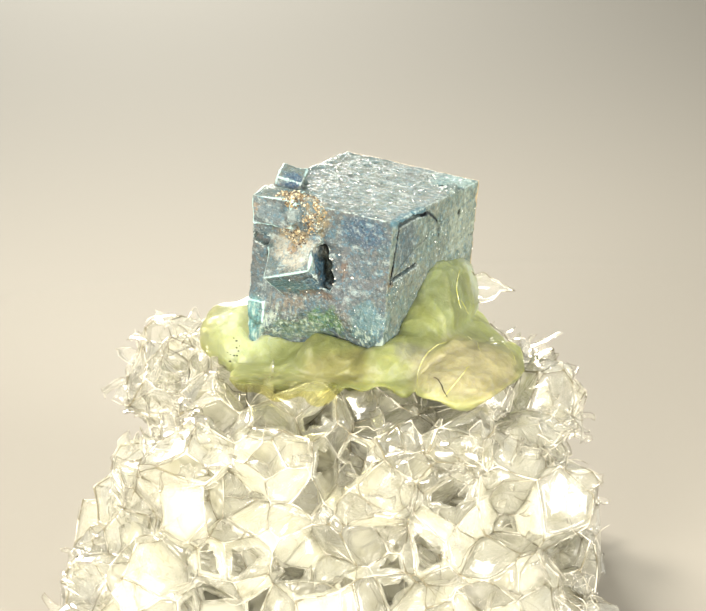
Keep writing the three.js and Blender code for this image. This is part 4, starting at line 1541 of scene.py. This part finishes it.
def shred_tree():
    """Scatters torn scraps of film over a surface: small pointed flaps, curled and crumpled."""
    tree = bpy.data.node_groups.new("torn_film_scraps", "GeometryNodeTree")
    tree.interface.new_socket("Geometry", in_out="OUTPUT", socket_type="NodeSocketGeometry")
    for name, kind in (
        ("Geometry", "NodeSocketGeometry"),
        ("Density", "NodeSocketFloat"),
        ("Smallest", "NodeSocketFloat"),
        ("Largest", "NodeSocketFloat"),
        ("Crumple", "NodeSocketFloat"),
        ("Seed", "NodeSocketInt"),
        ("Material", "NodeSocketMaterial"),
    ):
        tree.interface.new_socket(name, in_out="INPUT", socket_type=kind)
    start = add(tree, "NodeGroupInput").outputs
    wanted = add(
        tree, "GeometryNodeInputNamedAttribute", {"Name": "torn"}, data_type="FLOAT"
    ).outputs["Attribute"]
    density = add(tree, "ShaderNodeMath", {0: wanted, 1: start["Density"]}, operation="MULTIPLY").outputs[0]
    given = {"Mesh": start["Geometry"], "Density": density, "Seed": start["Seed"]}
    spread = add(tree, "GeometryNodeDistributePointsOnFaces", given)
    sheet = add(
        tree, "GeometryNodeMeshGrid", {"Size X": 0.9, "Size Y": 1.0, "Vertices X": 5, "Vertices Y": 6}
    ).outputs[0]
    place = add(tree, "GeometryNodeInputPosition").outputs[0]
    parts = add(tree, "ShaderNodeSeparateXYZ", {0: place}).outputs
    along = add(tree, "ShaderNodeMath", {0: parts["Y"], 1: 0.5}, operation="ADD").outputs[0]
    narrow = add(tree, "ShaderNodeMath", {0: along, 1: -0.45, 2: 1.0}, operation="MULTIPLY_ADD").outputs[0]
    across = add(tree, "ShaderNodeMath", {0: parts["X"], 1: narrow}, operation="MULTIPLY").outputs[0]
    rise = add(tree, "ShaderNodeMath", {0: along, 1: 1.6}, operation="POWER").outputs[0]
    bent = add(tree, "ShaderNodeCombineXYZ", {"X": across, "Y": rise, "Z": along}).outputs[0]
    flap = add(tree, "GeometryNodeSetPosition", {"Geometry": sheet, "Position": bent}).outputs[0]
    spin = add(
        tree,
        "FunctionNodeRandomValue",
        {0: (-0.7, -0.7, -3.14), 1: (0.7, 0.7, 3.14)},
        data_type="FLOAT_VECTOR",
    )
    turn = add(
        tree,
        "FunctionNodeRotateRotation",
        {0: spread.outputs["Rotation"], 1: spin.outputs[0]},
        rotation_space="LOCAL",
    ).outputs[0]
    size = add(
        tree,
        "FunctionNodeRandomValue",
        {2: start["Smallest"], 3: start["Largest"], "Seed": start["Seed"]},
        data_type="FLOAT",
    ).outputs[1]
    placed = add(
        tree,
        "GeometryNodeInstanceOnPoints",
        {"Points": spread.outputs["Points"], "Instance": flap, "Rotation": turn, "Scale": size},
    ).outputs[0]
    real = add(tree, "GeometryNodeRealizeInstances", {"Geometry": placed}).outputs[0]
    shake = add(tree, "ShaderNodeTexNoise", {"Scale": 1.6, "Detail": 1.0}).outputs["Color"]
    centred = add(
        tree, "ShaderNodeVectorMath", {0: shake, 1: (0.5, 0.5, 0.5)}, operation="SUBTRACT"
    ).outputs[0]
    push = add(
        tree, "ShaderNodeVectorMath", {0: centred, "Scale": start["Crumple"]}, operation="SCALE"
    ).outputs[0]
    crumpled = add(tree, "GeometryNodeSetPosition", {"Geometry": real, "Offset": push}).outputs[0]
    done = add(
        tree, "GeometryNodeSetMaterial", {"Geometry": crumpled, "Material": start["Material"]}
    ).outputs[0]
    add(tree, "NodeGroupOutput", {0: done})
    return tree


def foam_shreds(putty_skin, material):
    """Scraps of torn film on the block's outer skin, thickest along its upper edges."""
    skin = merged_copy("foam_block", "torn_film_scraps")
    at, _ = corners_of(skin.data)
    share = np.array([foam_share(*p) for p in at])
    shoulder = smoothstep(0.72, 0.95, share) * smoothstep(4.5, 6.0, at[:, 2])
    low = smoothstep(8.0, 7.6, at[:, 2]) * smoothstep(0.6, 1.4, at[:, 2])
    clear_of_putty = smoothstep(0.2, 0.7, np.array([putty_skin.find_nearest(Vector(p))[3] for p in at]))
    torn = (0.35 + 1.3 * shoulder) * low * clear_of_putty * smoothstep(-0.35, 0.25, field(at, 0.7, 61))
    set_attribute(skin.data, "torn", torn)
    scraps = grown_by_nodes(
        skin, shred_tree(), Density=2.4, Smallest=0.2, Largest=0.75, Crumple=0.7, Seed=12, Material=material
    )
    set_attribute(scraps.data, "haze", [0.05] * len(scraps.data.polygons), "FACE")
    set_attribute(scraps.data, "tint", [0.4] * len(scraps.data.polygons), "FACE")
    return scraps


def film_material(name, relief):
    """Blown low-density polyethylene film: clear and thin, so it shows mostly as soft glare and a faint cream
    veil. Where many walls lie over each other they read as cream-white, softly lit through. Fine relief is on
    the outer walls, and the inner ones are creased."""
    made = bpy.data.materials.new(name)
    made.use_nodes = True
    tree = made.node_tree
    tree.nodes.clear()
    place = add(tree, "ShaderNodeTexCoord").outputs["Object"]
    mm = add(tree, "ShaderNodeMapping", {"Vector": place, "Scale": (1 / MM,) * 3}).outputs[0]
    tint, haze = [
        add(tree, "ShaderNodeAttribute", attribute_name=held).outputs["Fac"] for held in ("tint", "haze")
    ]
    # Ripples of about 0.6 mm.
    ripple = add(
        tree, "ShaderNodeTexNoise", {"Vector": mm, "Scale": 1.6, "Detail": float(relief)}
    ).outputs["Fac"]
    # The inner walls get a darker cream than the outer ones: painted shade, for the dimmer depths of the
    # foam.
    clean, aged, deep = ("#fffff2", "#fbfae6", "#f2efd2") if relief else ("#f8f7e8", "#efedd8", "#d8d5bc")
    cream = coated(tree, linear(clean), [(tint, 0.0, 1.0, 1.0, aged), (ripple, 0.48, 0.66, 0.8, deep)])
    rough = {"Color": linear("#ffffff"), "Roughness": 0.14 if relief else 0.3}
    facing = {"IOR": 1.5 if relief else 1.8}
    creased = add(
        tree, "ShaderNodeTexNoise", {"Vector": mm, "Scale": 2.4, "Detail": 1.0, "Distortion": 0.7}
    ).outputs["Fac"]
    height, depth = (ripple, 0.06 * MM) if relief else (creased, 0.3 * MM)
    bump = add(
        tree, "ShaderNodeBump", {"Height": height, "Strength": 0.5 if relief else 0.7, "Distance": depth}
    ).outputs[0]
    front = add(
        tree, "ShaderNodeBsdfDiffuse", {"Color": cream, **({} if relief else {"Normal": bump})}
    ).outputs[0]
    through = add(tree, "ShaderNodeBsdfTranslucent", {"Color": cream}).outputs[0]
    rough["Normal"] = facing["Normal"] = bump
    veil = add(tree, "ShaderNodeMixShader", {0: 0.5 if relief else 0.66, 1: front, 2: through}).outputs[0]
    open_air = add(tree, "ShaderNodeBsdfTransparent", {"Color": (0.998, 0.996, 0.985, 1)}).outputs[0]
    veil = add(tree, "ShaderNodeMixShader", {0: haze, 1: open_air, 2: veil}).outputs[0]
    shine = add(tree, "ShaderNodeBsdfGlossy", rough).outputs[0]
    glare = add(tree, "ShaderNodeFresnel", facing).outputs[0]
    soft = add(tree, "ShaderNodeMath", {0: glare, 1: 0.6}, operation="MULTIPLY").outputs[0]
    skin = add(tree, "ShaderNodeMixShader", {0: soft, 1: veil, 2: shine}).outputs[0]
    add(tree, "ShaderNodeOutputMaterial", {"Surface": skin})
    return made


def strut_material():
    """Clear polyethylene drawn out into struts as the foam was blown: glassy, colourless to faintly warm rods
    that show as fine bright and dark lines; the dark is partly painted shade, brownish grey in streaks."""
    made = bpy.data.materials.new("polyethylene_drawn_struts")
    made.use_nodes = True
    tree = made.node_tree
    tree.nodes.clear()
    place = add(tree, "ShaderNodeTexCoord").outputs["Object"]
    mm = add(tree, "ShaderNodeMapping", {"Vector": place, "Scale": (1 / MM,) * 3}).outputs[0]
    streak = add(tree, "ShaderNodeTexNoise", {"Vector": mm, "Scale": 1.3, "Detail": 2.0}).outputs["Fac"]
    # Painted shade: in streaks the struts turn brownish grey, for the dark lines that clear rods show.
    shade = coated(tree, linear("#fdf9ea"), [(streak, 0.42, 0.54, 0.9, "#857c60")])
    given = {"Base Color": shade, "Roughness": 0.12, "IOR": 1.51, "Transmission Weight": 0.35}
    rod = add(tree, "ShaderNodeBsdfPrincipled", given).outputs[0]
    open_air = add(tree, "ShaderNodeBsdfTransparent", {"Color": (0.97, 0.96, 0.93, 1)}).outputs[0]
    glassy = add(tree, "ShaderNodeMixShader", {0: 0.75, 1: open_air, 2: rod}).outputs[0]
    add(tree, "ShaderNodeOutputMaterial", {"Surface": glassy})
    return made


# ---- the shot ----

set_camera()
set_floor_and_light()

crystal = make_crystal()
crystal_skin = skin_of(crystal)
grains = grain_tree()
# Single cuboid grains of clear chloride on the faces: tiny glassy faces that catch the light one by one.
# The palest of them are painted near white: painted glints.
glint_salt = grain_material(
    "chloride_grains_with_painted_glints",
    "#3f4f52",
    ((0.5, 0.7, "#8a9a97"), (0.8, 1.0, "#f4f6f0")),
    roughness=0.18,
    ior=1.9,
)
# An iron-stained crust of mixed grains: rusty, tan and cream, dull and earthy.
rusty_crust = grain_material(
    "iron_stained_crust_grown",
    "#2a2114",
    ((0.1, 0.25, "#54452c"), (0.35, 0.5, "#7c6a48"), (0.68, 0.85, "#a89e82")),
    roughness=0.6,
    ior=1.6,
)
pale_salt = plain_material("clear_chloride_grains_pale", "#8f8478", "#cfc8b8", roughness=0.3, ior=1.9)
given = {"Where": "sparkle", "Density": 95.0, "Smallest": 0.008, "Largest": 0.033, "Seed": 3}
sparkle = grains_on(crystal, "sparkling_grains", grains, **given, Material=glint_salt)
given = {"Where": "crust", "Density": 420.0, "Smallest": 0.02, "Largest": 0.085, "Round": True, "Seed": 8}
crust = grains_on(crystal, "crust_grains", grains, **given, Material=rusty_crust)
pale = pale_grains(crystal_skin)

putty = make_putty(crystal.data)
putty_skin = skin_of(putty)
tubes = strut_tree()
drawn_putty = plain_material("butyl_putty_drawn_thin", "#b4b45c", "#dcdaa4", roughness=0.2)
dust = plain_material("dust_and_cotton_fibre", "#120e0a", "#3a2c1c", roughness=0.8)
threads = laid_threads("putty_threads", PUTTY_THREADS, putty_skin, tubes, drawn_putty)
fibre = laid_threads("dust_fibre", [DUST_FIBRE], putty_skin, tubes, dust)
specks = specks_on(putty_skin)
wisp = make_wisp()

walls = foam_walls()
plan = planned_walls(walls, putty_skin)
film_plastic = film_material("polyethylene_blown_film", relief=True)
inner_plastic = film_material("polyethylene_blown_film_inside", relief=False)
strut_plastic = strut_material()
clear_walls, milky_walls = foam_films(plan)
struts = foam_struts(walls, putty_skin, tubes, strut_plastic)
creases = film_creases(plan, tubes, strut_plastic)
scraps = foam_shreds(putty_skin, film_plastic)
rims = rolled_rims("rolled_scrap_rims", scraps, tubes, 0.010, strut_plastic)
wisp_rim = rolled_rims("rolled_wisp_rim", wisp, tubes, 0.02, strut_plastic)
wisp = modified(wisp, "SOLIDIFY", thickness=FILM, offset=0.0)
scraps = modified(scraps, "SOLIDIFY", thickness=0.6 * FILM, offset=0.0)

finished(crystal, crystal_material(), node="crystal")
finished(sparkle, glint_salt, smooth=False)
finished(crust, rusty_crust, smooth=False)
finished(pale, pale_salt, smooth=False)
finished(putty, putty_material(), node="mounting_putty")
finished(threads, drawn_putty)
finished(fibre, dust)
finished(specks, dust, smooth=False)
finished(wisp, film_plastic)
finished(wisp_rim, strut_plastic)
finished(milky_walls, inner_plastic, node="foam_block")
finished(clear_walls, film_plastic)
finished(struts, strut_plastic)
finished(creases, strut_plastic)
finished(scraps, film_plastic)
finished(rims, strut_plastic)
